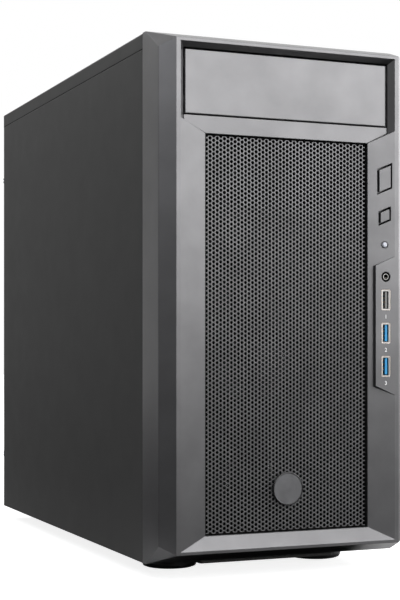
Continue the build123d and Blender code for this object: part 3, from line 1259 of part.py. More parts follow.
port_room = PORT_PLATE_HIGH - PORT_PLATE_LOW
fitted_ports = [port for port in PORTS if port[0] + port[1] / 2 < port_room - PORT_WALL]
with BuildPart() as port_plate:
    with BuildSketch(front_plane(CHASSIS_BACK)):
        rectangle(
            PORT_PLATE_X - PORT_PLATE_WIDTH / 2, PORT_PLATE_X + PORT_PLATE_WIDTH / 2,
            up(PORT_PLATE_LOW), up(PORT_PLATE_HIGH),
        )
        for drop, width, reach, sockets in fitted_ports:
            middle, half = PORT_PLATE_HIGH - drop, width / 2 + SOCKET_FIT
            rectangle(
                MAIN_FACE - reach - SOCKET_FIT, MAIN_FACE + SOCKET_FIT, up(middle - half), up(middle + half),
                mode=Mode.SUBTRACT,
            )
    extrude(amount=-0.8 * SHEET)
save(port_plate.part, "port_plate")

with BuildPart() as rear_ports:
    for drop, width, reach, sockets in fitted_ports:
        cell = reach / sockets
        middle = up(PORT_PLATE_HIGH - drop)
        spots = [(MAIN_FACE - (n + 0.5) * cell, middle) for n in range(sockets)]
        mouth = (cell - 2 * PORT_WALL, width - 2 * PORT_WALL)
        with BuildSketch(front_plane(DEPTH - PORT_INSET)):
            rectangle(MAIN_FACE - reach, MAIN_FACE, middle - width / 2, middle + width / 2)
        extrude(amount=PORT_DEPTH)
        with BuildSketch(front_plane(DEPTH - PORT_INSET)):
            with Locations(*spots):
                Rectangle(*mouth)
                Rectangle(mouth[0] - PORT_TONGUE_GAP[0], mouth[1] - PORT_TONGUE_GAP[1], mode=Mode.SUBTRACT)
        extrude(amount=PORT_DEPTH / 2, mode=Mode.SUBTRACT)
save(rear_ports.part, "rear_ports")

with BuildPart() as card_blanks:
    for height in slot_heights:
        with BuildSketch(front_plane(CHASSIS_BACK - SHEET)):
            rectangle(blank_x, SLOT_RIGHT + 3, up(height - BLANK_HEIGHT / 2), up(height + BLANK_HEIGHT / 2))
        extrude(amount=-SHEET)
        with BuildSketch(side_plane(blank_x)):
            rectangle(
                back(CHASSIS_BACK - SHEET), back(REAR_FACE + SHELF_DEPTH),
                up(height - BLANK_TAB / 2), up(height + BLANK_TAB / 2),
            )
        extrude(amount=SHEET)
    with BuildSketch(side_plane(SLOT_LEFT)):
        with Locations(*shelf_screws):
            Circle(CARD_HOLE)
    extrude(amount=3 * SHEET, mode=Mode.SUBTRACT)
save(card_blanks.part, "card_blanks")

with BuildPart() as card_screws:
    for radius, reach in ((2 * CARD_SCREW, -2.2), (CARD_SCREW, 4)):
        with BuildSketch(side_plane(blank_x)):
            with Locations(*shelf_screws):
                Circle(radius)
        extrude(amount=reach)
save(card_screws.part, "card_screws")


# ---- Power supply ---------------------------------------------------------------------------
supply_front = CHASSIS_BACK - SUPPLY[1]
supply_fan_depth = supply_front + FRONT_FAN / 2 + SUPPLY_FAN_MARGIN
with BuildPart() as supply_case:
    with BuildSketch(front_plane(supply_front)):
        rectangle(-SUPPLY[0] / 2, SUPPLY[0] / 2, up(SUPPLY_LOW), up(supply_top))
    extrude(amount=-SUPPLY[1])
    fillet(supply_case.edges().filter_by(Axis.Y), 1)
    with BuildSketch(floor_plane(SUPPLY_LOW + SHEET)):
        with Locations((0, back(supply_fan_depth))):
            Rectangle(FRONT_FAN, FRONT_FAN)
    extrude(amount=FAN_THICK, mode=Mode.SUBTRACT)
    with BuildSketch(floor_plane(SUPPLY_LOW)):
        with Locations((0, back(supply_fan_depth))):
            Circle(FRONT_FAN / 2 - FAN_WALL)
    extrude(amount=SHEET, mode=Mode.SUBTRACT)
    with BuildSketch(front_plane(CHASSIS_BACK)):
        with Locations((INLET_X, up(INLET_HEIGHT))):
            Rectangle(*INLET)
        with Locations((SWITCH_X, up(INLET_HEIGHT))):
            Rectangle(*SWITCH)
    extrude(amount=20, mode=Mode.SUBTRACT)
    with BuildSketch(front_plane(CHASSIS_BACK)):
        with Locations((GRILLE_X, up(INLET_HEIGHT))):
            with GridLocations(GRILLE_SLOT[1] + 3, 0, 7, 1):
                SlotOverall(*GRILLE_SLOT, rotation=90)
    extrude(amount=3, mode=Mode.SUBTRACT)
    with BuildSketch(front_plane(CHASSIS_BACK)):
        with Locations(*supply_screw_spots):
            Circle(SCREW_HOLE)
    extrude(amount=FAN_FLANGE, mode=Mode.SUBTRACT)
save(supply_case.part, "supply_case")

supply_mount = facing(0, supply_fan_depth, SUPPLY_LOW + SHEET, (0, 0, -1))
save(fan_frame(supply_mount, FRONT_FAN, FRONT_FAN_HOLES), "supply_fan_frame")
save(fan_rotor(supply_mount, FRONT_FAN), "supply_fan_rotor")

with BuildPart() as supply_fan_guard:
    with BuildSketch(floor_plane(SUPPLY_LOW)):
        with Locations((0, back(supply_fan_depth))):
            for radius in GUARD_RINGS:
                Circle(radius)
                Circle(radius - GUARD_WIRE, mode=Mode.SUBTRACT)
            with GridLocations(FRONT_FAN_HOLES, FRONT_FAN_HOLES, 2, 2):
                Circle(SCREW_HEAD)
            for angle in (45, 135):
                Rectangle(FRONT_FAN_HOLES * 2 ** 0.5, GUARD_WIRE, rotation=angle)
    extrude(amount=-GUARD_WIRE / 2)
save(supply_fan_guard.part, "supply_fan_guard")

live_pins = [(INLET_X + hand * 7, up(INLET_HEIGHT - 3)) for hand in (-1, 1)]
with BuildPart() as supply_inlet:
    with BuildSketch(front_plane(CHASSIS_BACK)):
        with Locations((INLET_X, up(INLET_HEIGHT))):
            RectangleRounded(INLET[0] + 4, INLET[1] + 4, 2)
    extrude(amount=-INLET_FLANGE)
    with BuildSketch(front_plane(CHASSIS_BACK)):
        with Locations((INLET_X, up(INLET_HEIGHT))):
            Rectangle(*INLET)
    extrude(amount=18)
    with BuildSketch(front_plane(CHASSIS_BACK + INLET_FLANGE)) as cavity:
        with Locations((INLET_X, up(INLET_HEIGHT))):
            Rectangle(*INLET_CAVITY[:2])
        chamfer(cavity.vertices().group_by(Axis.Y)[-1], 4)
    extrude(amount=INLET_CAVITY[2], mode=Mode.SUBTRACT)
    with BuildSketch(front_plane(CHASSIS_BACK - 1)):
        with Locations((INLET_X, up(INLET_HEIGHT + 3)), *live_pins):
            Rectangle(*INLET_PIN)
    extrude(amount=14)
save(supply_inlet.part, "supply_inlet")

rocker_depth = CHASSIS_BACK - SWITCH_PIVOT
pin_half = (SWITCH[0] - SWITCH_WALL) / 2
with BuildPart() as switch_frame:
    with BuildSketch(front_plane(CHASSIS_BACK)):
        with Locations((SWITCH_X, up(INLET_HEIGHT))):
            RectangleRounded(SWITCH[0] + 2, SWITCH[1] + 3, 1)
    extrude(amount=-SWITCH_FLANGE)
    with BuildSketch(front_plane(CHASSIS_BACK)):
        with Locations((SWITCH_X, up(INLET_HEIGHT))):
            Rectangle(*SWITCH)
    extrude(amount=16)
    with BuildSketch(front_plane(CHASSIS_BACK + SWITCH_FLANGE)):
        with Locations((SWITCH_X, up(INLET_HEIGHT))):
            Rectangle(SWITCH[0] - 2 * SWITCH_WALL, SWITCH[1] - 2 * SWITCH_WALL)
    extrude(amount=10, mode=Mode.SUBTRACT)
    # bearings for the rocker's pivot
    with BuildSketch(side_plane(SWITCH_X)):
        with Locations((back(rocker_depth), up(INLET_HEIGHT))):
            Circle(PIVOT_RADIUS + SHAFT_CLEARANCE)
    extrude(amount=pin_half + SHAFT_CLEARANCE, both=True, mode=Mode.SUBTRACT)
save(switch_frame.part, "switch_frame")

rocker_half = SWITCH[0] / 2 - SWITCH_WALL - FIT
with BuildPart() as switch_rocker:
    with BuildSketch(side_plane(SWITCH_X)):
        with Locations((back(rocker_depth), up(INLET_HEIGHT))):
            Polygon(*ROCKER_OUTLINE, rotation=-SWITCH_SWING / 2, align=None)
    extrude(amount=rocker_half, both=True)
    with BuildSketch(side_plane(SWITCH_X)):
        with Locations((back(rocker_depth), up(INLET_HEIGHT))):
            Circle(PIVOT_RADIUS)
    extrude(amount=pin_half, both=True)
save(switch_rocker.part, "switch_rocker")
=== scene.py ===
"""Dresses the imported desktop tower: finishes, fine mesh, socket details, light and camera."""
import json
import math
from math import cos, pi, radians, sin

import bmesh
import bpy
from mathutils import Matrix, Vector


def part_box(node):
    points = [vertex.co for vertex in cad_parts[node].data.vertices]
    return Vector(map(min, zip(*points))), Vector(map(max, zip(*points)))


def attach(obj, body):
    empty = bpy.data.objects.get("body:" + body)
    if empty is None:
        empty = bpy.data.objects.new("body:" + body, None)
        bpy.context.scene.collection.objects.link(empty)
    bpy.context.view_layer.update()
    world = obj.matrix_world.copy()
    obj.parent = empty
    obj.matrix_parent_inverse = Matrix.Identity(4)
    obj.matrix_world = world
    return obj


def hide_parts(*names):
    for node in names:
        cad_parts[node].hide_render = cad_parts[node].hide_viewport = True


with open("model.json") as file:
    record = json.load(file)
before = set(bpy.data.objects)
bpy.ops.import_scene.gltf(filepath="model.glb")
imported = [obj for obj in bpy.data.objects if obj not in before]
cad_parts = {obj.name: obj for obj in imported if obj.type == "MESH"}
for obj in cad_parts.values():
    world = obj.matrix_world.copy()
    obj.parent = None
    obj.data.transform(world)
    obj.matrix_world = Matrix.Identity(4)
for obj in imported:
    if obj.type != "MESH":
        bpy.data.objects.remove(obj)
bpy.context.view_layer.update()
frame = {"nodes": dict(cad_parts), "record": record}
NODES = frame["nodes"]
MM = 0.001

# ---- Places read from the frame ---------------------------------------------------------------
BEZEL_LOW, BEZEL_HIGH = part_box("front_bezel")
FRONT = BEZEL_LOW.y                  # the flat front ring
GROUND = BEZEL_LOW.z                 # underside of the body


def at(x, depth, height):
    """A point from millimetres: across, behind the front ring, above the underside."""
    return Vector((x * MM, FRONT + depth * MM, GROUND + height * MM))


# ---- Node helpers -----------------------------------------------------------------------------
NOISE_LOW, NOISE_HIGH = 0.3, 0.7     # most of a noise texture's values lie between these
EDGE_RAYS = 4


class Shader:
    """A small builder for one Principled material."""

    def __init__(self, name, colour, roughness, metallic=0.0, **sockets):
        self.material = bpy.data.materials.new(name)
        self.material.use_nodes = True
        self.tree = self.material.node_tree
        self.bsdf = self.tree.nodes["Principled BSDF"]
        self.bsdf.inputs["Base Color"].default_value = (*colour, 1)
        self.bsdf.inputs["Roughness"].default_value = roughness
        self.bsdf.inputs["Metallic"].default_value = metallic
        for socket, value in sockets.items():
            self.bsdf.inputs[socket.replace("_", " ")].default_value = value
        self.coords = self.node("ShaderNodeTexCoord").outputs["Object"]
        self.normal = None

    def node(self, kind, **settings):
        """A new node, with its settings."""
        made = self.tree.nodes.new(kind)
        for key, value in settings.items():
            setattr(made, key, value)
        return made

    def link(self, source, target):
        self.tree.links.new(source, target)

    def noise(self, scale, detail, roughness=0.5, stretch=None):
        """Noise over the object, squeezed along its axes by stretch."""
        made = self.node("ShaderNodeTexNoise")
        made.inputs["Scale"].default_value = scale
        made.inputs["Detail"].default_value = detail
        made.inputs["Roughness"].default_value = roughness
        source = self.coords
        if stretch:
            mapping = self.node("ShaderNodeMapping")
            mapping.inputs["Scale"].default_value = stretch
            self.link(source, mapping.inputs["Vector"])
            source = mapping.outputs["Vector"]
        self.link(source, made.inputs["Vector"])
        return made.outputs["Fac"]

    def ramp(self, noise, low, high):
        """Noise spread between low and high."""
        made = self.node("ShaderNodeMapRange")
        made.inputs["From Min"].default_value = NOISE_LOW
        made.inputs["From Max"].default_value = NOISE_HIGH
        made.inputs["To Min"].default_value = low
        made.inputs["To Max"].default_value = high
        self.link(noise, made.inputs["Value"])
        return made.outputs["Result"]

    def mottle(self, scale, dark, light, detail=3.0, stretch=None):
        """Base colour that drifts between two colours."""
        mix = self.node("ShaderNodeMix", data_type="RGBA")
        mix.inputs["A"].default_value = (*dark, 1)
        mix.inputs["B"].default_value = (*light, 1)
        self.link(self.ramp(self.noise(scale, detail, stretch=stretch), 0, 1), mix.inputs["Factor"])
        self.link(mix.outputs["Result"], self.bsdf.inputs["Base Color"])
        return mix

    def gloss(self, scale, low, high, stretch=None):
        """Roughness that drifts between two values."""
        drift = self.ramp(self.noise(scale, 2, stretch=stretch), low, high)
        self.link(drift, self.bsdf.inputs["Roughness"])

    def bump(self, height, distance, strength):
        """Relief over what already shapes the normal."""
        made = self.node("ShaderNodeBump")
        made.inputs["Distance"].default_value = distance
        made.inputs["Strength"].default_value = strength
        self.link(height, made.inputs["Height"])
        if self.normal:
            self.link(self.normal, made.inputs["Normal"])
        self.normal = made.outputs["Normal"]
        self.link(self.normal, self.bsdf.inputs["Normal"])

    def soft_edges(self, radius):
        """Rounds the edges' shading, as a moulded or folded edge does."""
        made = self.node("ShaderNodeBevel", samples=EDGE_RAYS)
        made.inputs["Radius"].default_value = radius
        self.normal = made.outputs["Normal"]
        self.link(self.normal, self.bsdf.inputs["Normal"])


def scaled(colour, share):
    """A colour made darker or lighter."""
    return tuple(share * part for part in colour)


# ---- Materials --------------------------------------------------------------------------------
COOL_GREY = (1.0, 0.99, 1.02)
WARM_GREY = (1.01, 1.0, 0.985)
SATIN_METALLIC = 0.75


def satin_moulding(name, level, roughness):
    """Moulded front: dark grey with a fine satin grain and a metallic flake."""
    colour = scaled(COOL_GREY, level)
    s = Shader(name, colour, roughness, SATIN_METALLIC)
    s.mottle(40, scaled(colour, 0.9), scaled(colour, 1.1), detail=8)
    s.gloss(14, roughness - 0.02, roughness + 0.03)
    s.soft_edges(0.5 * MM)
    s.bump(s.noise(2600, detail=1), distance=0.02 * MM, strength=0.5)
    return s.material


def powder_coat(name, level, roughness, specular=0.35):
    """Folded steel with a fine orange-peel powder coat."""
    colour = scaled(WARM_GREY, level)
    s = Shader(name, colour, roughness, Specular_IOR_Level=specular)
    s.mottle(60, scaled(colour, 0.95), scaled(colour, 1.05), detail=6)
    s.gloss(45, roughness - 0.02, roughness + 0.02)
    s.soft_edges(0.6 * MM)
    s.bump(s.noise(1400, detail=3, roughness=0.6), distance=0.05 * MM, strength=0.6)
    return s.material


def plastic(name, colour, roughness, grain=1500, specular=0.5):
    """A plain moulding with a fine grain."""
    s = Shader(name, colour, roughness, Specular_IOR_Level=specular)
    s.mottle(30, scaled(colour, 0.92), scaled(colour, 1.08))
    s.gloss(60, roughness - 0.05, roughness + 0.06)
    s.soft_edges(0.3 * MM)
    s.bump(s.noise(grain, detail=2), distance=0.03 * MM, strength=0.5)
    return s.material


def metal(name, colour, roughness, brushed=None):
    """Bare metal; brushed squeezes its grain along the axes, as on a drawn or brushed surface."""
    s = Shader(name, colour, roughness, metallic=1.0)
    s.mottle(40, scaled(colour, 0.9), colour, stretch=brushed)
    s.gloss(90, roughness - 0.06, roughness + 0.08, stretch=brushed)
    s.bump(s.noise(900, detail=3, stretch=brushed), distance=0.02 * MM, strength=0.4)
    return s.material


def circuit_material():
    """Solder mask over copper tracks, which follow the borders of a square-celled pattern."""
    s = Shader("circuit_green", (0.012, 0.035, 0.02), 0.35)
    mask = s.mottle(50, (0.008, 0.022, 0.014), (0.014, 0.04, 0.024))
    cells = s.node("ShaderNodeTexVoronoi", feature="DISTANCE_TO_EDGE", distance="CHEBYCHEV")
    cells.inputs["Scale"].default_value = 240
    s.link(s.coords, cells.inputs["Vector"])
    tracks = s.node("ShaderNodeMath", operation="LESS_THAN")
    tracks.inputs[1].default_value = 0.07
    s.link(cells.outputs["Distance"], tracks.inputs[0])
    over = s.node("ShaderNodeMix", data_type="RGBA")
    over.inputs["B"].default_value = (0.03, 0.075, 0.045, 1)
    s.link(tracks.outputs[0], over.inputs["Factor"])
    s.link(mask.outputs["Result"], over.inputs["A"])
    s.link(over.outputs["Result"], s.bsdf.inputs["Base Color"])
    s.bump(tracks.outputs[0], distance=0.03 * MM, strength=0.6)
    return s.material


def badge_material():
    """Dark satin metal, turned in fine rings about the badge's middle."""
    s = Shader("badge_turned", (0.13, 0.13, 0.135), 0.38, metallic=0.9)
    low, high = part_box("badge_disc")
    offset = s.node("ShaderNodeVectorMath", operation="SUBTRACT")
    offset.inputs[1].default_value = (low + high) / 2
    s.link(s.coords, offset.inputs[0])
    reach = s.node("ShaderNodeVectorMath", operation="LENGTH")
    s.link(offset.outputs["Vector"], reach.inputs[0])
    rings = s.node("ShaderNodeMath", operation="PINGPONG")
    rings.inputs[1].default_value = 0.25 * MM
    s.link(reach.outputs["Value"], rings.inputs[0])
    s.mottle(120, (0.12, 0.12, 0.125), (0.14, 0.14, 0.145))
    s.gloss(200, 0.34, 0.42)
    s.bump(rings.outputs[0], distance=0.02 * MM, strength=0.4)
    return s.material


def lens_material():
    """Milky white lens of the lamp."""
    s = Shader("lens_white", (0.7, 0.72, 0.8), 0.35, Transmission_Weight=0.2)
    s.mottle(300, (0.66, 0.68, 0.76), (0.76, 0.78, 0.86))
    return s.material


MATERIALS = {
    "bezel": satin_moulding("bezel_satin", 0.118, 0.33),
    "trim": satin_moulding("trim_satin", 0.12, 0.34),
    "mesh": satin_moulding("mesh_satin", 0.12, 0.36),
    "badge": badge_material(),
    "button": satin_moulding("button_satin", 0.125, 0.35),
    "lens": lens_material(),
    "circuit_board": circuit_material(),
    "socket_metal": metal("socket_nickel", (0.34, 0.33, 0.32), 0.34),
    "black_plastic": plastic("black_moulding", (0.014, 0.014, 0.015), 0.45),
    "painted_steel": powder_coat("panel_coat", 0.064, 0.6, specular=0.25),
    "plated_steel": powder_coat("chassis_coat", 0.01, 0.55, specular=0.25),
    "cast_metal": metal("drive_casting", (0.07, 0.07, 0.075), 0.45),
    "black_metal": powder_coat("thumb_black", 0.02, 0.3, specular=0.5),
    "foot_plastic": plastic("foot_black", (0.004, 0.004, 0.004), 0.5),
    "pad_rubber": plastic("pad_rubber", (0.006, 0.006, 0.006), 0.8, grain=900),
    "fan_plastic": plastic("fan_black", (0.006, 0.006, 0.007), 0.55, specular=0.25),
    "screw_steel": metal("screw_zinc", (0.6, 0.6, 0.62), 0.3),
    "fin_aluminium": metal("fin_extruded", (0.78, 0.79, 0.8), 0.3, brushed=(1, 1, 12)),
    "supply_steel": powder_coat("supply_coat", 0.05, 0.45),
    "gloss_black": plastic("rocker_black", (0.01, 0.01, 0.011), 0.2),
}
# near black without sheen: painted shade, for what lies in shade behind the mesh, in gaps, seams and holes
SHADE_BLACK = plastic("shade_black", (0.003, 0.003, 0.003), 0.9, specular=0.1)
BLUE_TONGUE = plastic("tongue_blue", (0.02, 0.29, 0.6), 0.35)
GREY_TONGUE = plastic("tongue_grey", (0.16, 0.16, 0.155), 0.4)
WHITE_PRINT = plastic("white_print", (0.85, 0.85, 0.86), 0.6)
VIDEO_BLUE = plastic("video_blue", (0.03, 0.09, 0.3), 0.4)
CONTACT_GOLD = metal("contact_gold", (0.83, 0.6, 0.25), 0.25)
JACK_METAL = metal("jack_nickel", (0.24, 0.235, 0.23), 0.38)
RIM_METAL = metal("rim_nickel", (0.66, 0.58, 0.52), 0.3)

# the jack's barrel and what stands right behind the mesh take the shade black: painted shade, darker than
# their own black or dark finishes
SHADE_PAINTED_NODES = (
    "front_fan_screws", "front_plate", "front_fan_frame_lower", "front_fan_frame_upper",
    "front_fan_rotor_lower", "front_fan_rotor_upper", "bezel_clips", "audio_jack",
)


def dress_nodes():
    """Gives every CAD node the finish of its slot, and the shade black, painted shade, to the nodes listed
    as standing in shade.
    """
    for entry in frame["record"]["subparts"]:
        node = NODES[entry["node"]]
        finish = SHADE_BLACK if entry["node"] in SHADE_PAINTED_NODES else MATERIALS[entry["material_slot"]]
        if not node.data.materials:
            node.data.materials.append(None)
        for slot in node.material_slots:
            slot.material = finish


# ---- Mesh helpers -----------------------------------------------------------------------------
SQUARE = ((-1, -1), (1, -1), (1, 1), (-1, 1))      # a square's corners, across and up


def add_piece(name, mesh, body, material):
    """Puts a mesh into the scene as a piece that rides on a body and wears the finish it is given."""
    mesh.name = name
    mesh.materials.clear()
    mesh.materials.append(material)
    piece = bpy.data.objects.new(name, mesh)
    bpy.context.scene.collection.objects.link(piece)
    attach(piece, body)
    return piece


def mesh_piece(name, vertices, faces, body, material, smooth=False):
    """A piece from its vertices and faces."""
    mesh = bpy.data.meshes.new(name)
    mesh.from_pydata([tuple(v) for v in vertices], [], faces)
    mesh.validate()
    for polygon in mesh.polygons:
        polygon.use_smooth = smooth
    return add_piece(name, mesh, body, material)


def thicken(piece, thickness, offset):
    """Gives a piece made of single faces its wall."""
    solid = piece.modifiers.new("sheet", "SOLIDIFY")
    solid.thickness = thickness * MM
    solid.offset = offset


def curve_mesh(name, curve):
    """The mesh that a curve or a text makes."""
    shape = bpy.data.objects.new(name + "_curve", curve)
    mesh = bpy.data.meshes.new_from_object(shape)
    bpy.data.objects.remove(shape)
    return mesh


def upright(left, right, low, high, depth):
    """The corners of an upright rectangle, from millimetres as at() takes them."""
    return [at(left, depth, low), at(right, depth, low), at(right, depth, high), at(left, depth, high)]


def band(first=0):
    """The four faces between two rings of four vertices, which follow each other from the first on."""
    corners = [(first + k, first + (k + 1) % 4) for k in range(4)]
    return [(here, there, there + 4, here + 4) for here, there in corners]


def wire(name, loops, radius, body, material, closed=True):
    """Round wire along each loop of points."""
    curve = bpy.data.curves.new(name, "CURVE")
    curve.dimensions = "3D"
    curve.bevel_depth = radius * MM
    curve.bevel_resolution = 2
    for points in loops:
        spline = curve.splines.new("POLY")
        spline.points.add(len(points) - 1)
        for knot, point in zip(spline.points, points):
            knot.co = (*point, 1)
        spline.use_cyclic_u = closed
    mesh = curve_mesh(name, curve)
    for polygon in mesh.polygons:
        polygon.use_smooth = True
    add_piece(name, mesh, body, material)


def blocks(name, boxes, body, material, bevel=0.08):
    """Several boxes with eased edges, each given by its lowest and highest corner."""
    form = bmesh.new()
    for low, high in boxes:
        made = bmesh.ops.create_cube(form, size=1)["verts"]
        bmesh.ops.scale(form, verts=made, vec=high - low)
        bmesh.ops.translate(form, verts=made, vec=(low + high) / 2)
    bmesh.ops.bevel(form, geom=form.edges[:], offset=bevel * MM, segments=2, affect="EDGES")
    mesh = bpy.data.meshes.new(name)
    form.to_mesh(mesh)
    form.free()
    add_piece(name, mesh, body, material)


def lathe(name, place, axis, profile, body, material, steps=40):
    """A ring or disc turned about an axis, from (radius, distance along the axis) points."""
    turn_to = Vector(axis).to_track_quat("Z", "Y")
    vertices, faces = [], []
    for step in range(steps):
        turn = 2 * pi * step / steps
        for radius, along in profile:
            spoke = Vector((radius * cos(turn), radius * sin(turn), along)) * MM
            vertices.append(place + turn_to @ spoke)
    count = len(profile)
    for step in range(steps):
        here, there = step * count, (step + 1) % steps * count
        for k in range(count - 1):
            faces.append((here + k, here + k + 1, there + k + 1, there + k))
    mesh_piece(name, vertices, faces, body, material, smooth=True)


def middle_of(node):
    """The middle of a node's box across and up, in millimetres as at() takes them."""
    low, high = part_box(node)
    return (low.x + high.x) / 2 / MM, ((low.z + high.z) / 2 - GROUND) / MM


# ---- Fine front mesh --------------------------------------------------------------------------
CELL_PITCH = 2.93         # from hole to hole
HOLE_RADIUS = 1.29        # to the corners of a hole
HOLE_SIDES = 6
MESH_SHEET = 0.8
CORNER_STEPS = 50         # cells share the corners that agree to this many steps a millimetre
PAN_RIM = 4.2             # the rim stands out this far round the face
PAN_DEPTH = 1.9           # and lies this far behind it
PAN_INSET = 0.1           # the pan's sides start this far behind the face
PAN_SHEET = 0.6

FILTER_PITCH = 1.2        # from strand to strand
FILTER_STRAND = 0.75      # width of a strand
FILTER_LAYER = 0.15       # thickness of a strand
FILTER_SINK = 0.03        # the level strands lie this deep in the upright ones
FILTER_EDGE = 0.5         # the net ends this far inside the pan's rim
FILTER_GAP = 0.2          # and hangs this far behind it


def perforated_cells(half, low, high, depth):
    """Vertices and faces of a sheet of six-sided cells, each round its hole, past a rectangle's edges."""
    radius = CELL_PITCH / math.sqrt(3)
    column = 1.5 * radius
    columns = 2 * int(half / column + 1) + 1
    rows = int((high - low) / CELL_PITCH) + 3        # spare cells at both ends are cut off later
    middle = (low + high) / 2
    vertices, faces, shared = [], [], {}

    def corner(x, y, z):
        key = (round(x * CORNER_STEPS), round(y * CORNER_STEPS), round(z * CORNER_STEPS))
        if key not in shared:
            shared[key] = len(vertices)
            vertices.append(at(x, y, z))
        return shared[key]

    def cell(x, z):
        rings = []
        for y in (depth, depth + MESH_SHEET):
            outer, hole = [], []
            for k in range(HOLE_SIDES):
                turn = 2 * pi * k / HOLE_SIDES
                outer.append(corner(x + radius * cos(turn), y, z + radius * sin(turn)))
                hole.append(len(vertices))
                vertices.append(at(x + HOLE_RADIUS * cos(turn), y, z + HOLE_RADIUS * sin(turn)))
            rings.append((outer, hole))
        (front_outer, front_hole), (back_outer, back_hole) = rings
        for k in range(HOLE_SIDES):
            n = (k + 1) % HOLE_SIDES
            faces.append((front_outer[k], front_outer[n], front_hole[n], front_hole[k]))
            faces.append((front_hole[k], front_hole[n], back_hole[n], back_hole[k]))
            faces.append((back_hole[k], back_hole[n], back_outer[n], back_outer[k]))

    for c in range(columns):
        lift = CELL_PITCH / 4 if c % 2 else -CELL_PITCH / 4
        for r in range(rows):
            cell((c - (columns - 1) / 2) * column, middle + (r - (rows - 1) / 2) * CELL_PITCH + lift)
    return vertices, faces


def trim_to_rectangle(mesh, half, low, high):
    """Cuts off what lies outside a rectangle across the front."""
    form = bmesh.new()
    form.from_mesh(mesh)
    edges = (
        (at(half, 0, 0), (1, 0, 0)), (at(-half, 0, 0), (-1, 0, 0)),
        (at(0, 0, high), (0, 0, 1)), (at(0, 0, low), (0, 0, -1)),
    )
    for place, outward in edges:
        everything = form.verts[:] + form.edges[:] + form.faces[:]
        bmesh.ops.bisect_plane(form, geom=everything, plane_co=place, plane_no=outward, clear_outer=True)
    form.to_mesh(mesh)
    form.free()


def front_mesh():
    """The front mesh at its real pitch, and the pan that carries it: its sides and its hidden rim."""
    grille_low, grille_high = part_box("mesh_grille")
    half = grille_high.x / MM - PAN_RIM
    low = (grille_low.z - GROUND) / MM + PAN_RIM
    high = (grille_high.z - GROUND) / MM
    depth = (grille_low.y - FRONT) / MM
    vertices, faces = perforated_cells(half, low, high, depth)
    panel = mesh_piece("mesh_face", vertices, faces, "bezel", MATERIALS["mesh"])
    trim_to_rectangle(panel.data, half, low, high)
    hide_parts("mesh_grille")

    rings = upright(-half, half, low, high, depth + PAN_INSET)
    rings += upright(-half, half, low, high, depth + PAN_DEPTH)
    rings += upright(-half - PAN_RIM, half + PAN_RIM, low - PAN_RIM, high, depth + PAN_DEPTH)
    # the pan's sides and rim take the shade black: painted shade in the gap round the mesh
    pan = mesh_piece("mesh_pan", rings, band() + band(4), "bezel", SHADE_BLACK)
    thicken(pan, PAN_SHEET, offset=-1)


def strands(low, high):
    """Both edges of each strand of the net between two places."""
    count = int((high - low - FILTER_STRAND) / FILTER_PITCH) + 1
    edges = [low + k * FILTER_PITCH for k in range(count)]
    return [(edge, edge + FILTER_STRAND) for edge in edges]


def dust_filter():
    """The black net close behind the mesh, in the shade black, its own black darkened to painted shade:
    upright strands, and level ones sunk into their backs.
    """
    grille_low, grille_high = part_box("mesh_grille")
    half = grille_high.x / MM - FILTER_EDGE
    low = (grille_low.z - GROUND) / MM + FILTER_EDGE
    high = (grille_high.z - GROUND) / MM - FILTER_EDGE
    depth = (grille_high.y - FRONT) / MM + FILTER_GAP
    strips = [(left, right, low, high, depth) for left, right in strands(-half, half)]
    depth += FILTER_LAYER - FILTER_SINK
    strips += [(-half, half, under, over, depth) for under, over in strands(low, high)]
    vertices, faces = [], []
    for left, right, under, over, y in strips:
        n = len(vertices)
        vertices += upright(left, right, under, over, y + FILTER_LAYER)
        vertices += upright(left, right, under, over, y)
        faces += band(n) + [(n + 3, n + 2, n + 1, n), (n + 4, n + 5, n + 6, n + 7)]
    mesh_piece("dust_filter", vertices, faces, "bezel", SHADE_BLACK)


# ---- Front sockets ----------------------------------------------------------------------------
USB_COUNT = 3
USB_SHELL_HEIGHT = 13.6
USB_OPENING = (6.8, 14.0, 1.0)       # width, height and corner radius of the opening in the boss
USB_CAVITY = (4.5, 12.0, 9.0)        # width, height and depth inside the shell
USB_RIM = 0.17                       # radius of the bright rim
USB_RIM_INSET = 0.1
USB_RIM_DEPTH = 0.05
CAVITY_SHADE_GAP = 0.05                    # between the black sheets of painted shade and the cavity's walls
CAVITY_SHADE_FRONT = 0.35
TONGUE = (1.8, 11.0)                 # width and height of the plain tongue
TONGUE_SKIN = 0.04                   # the coloured one stands this far round it
TONGUE_SHIFT = 0.675                 # it stands this far from the socket's middle
TONGUE_FRONT = 0.9
TONGUE_BACK = 0.5                    # it ends this far short of the cavity's depth
CONTACT_COUNT = 4
CONTACT_HALF = 0.55                  # half a contact's height
CONTACT_PROUD, CONTACT_SUNK = 0.08, 0.05
CONTACT_SPAN = (1.6, 7.0)            # depths between which a contact lies
NUMERAL_DROP = 11.5                  # from a socket's middle to its numeral
NUMERAL_SIZE = 3.6
PRINT_DEPTH = 0.01                   # half the print's thickness
PRINT_STROKE = 0.05                  # thickens the strokes
PRINT_PROUD = 0.02
JACK_DEPTH = 0.1
JACK_RING = ((1.5, 1.2), (1.5, 0.25), (1.65, 0.02), (2.0, 0.0), (2.25, 0.15), (2.3, 0.5))
JACK_SPRING = ((0.4, 1.0, -1.1), (0.9, 1.1, -0.5), (1.0, 2.5, 0.0))    # across, depth, up
JACK_WIRE = 0.18


def rounded_rectangle(x, height, width, tall, corner, depth, steps=5):
    """Points round an upright rectangle with round corners."""
    points = []
    for quarter, (across, along) in enumerate(((1, 1), (-1, 1), (-1, -1), (1, -1))):
        for step in range(steps + 1):
            turn = pi / 2 * (quarter + step / steps)
            points.append(at(
                x + across * (width / 2 - corner) + corner * cos(turn), depth,
                height + along * (tall / 2 - corner) + corner * sin(turn),
            ))
    return points


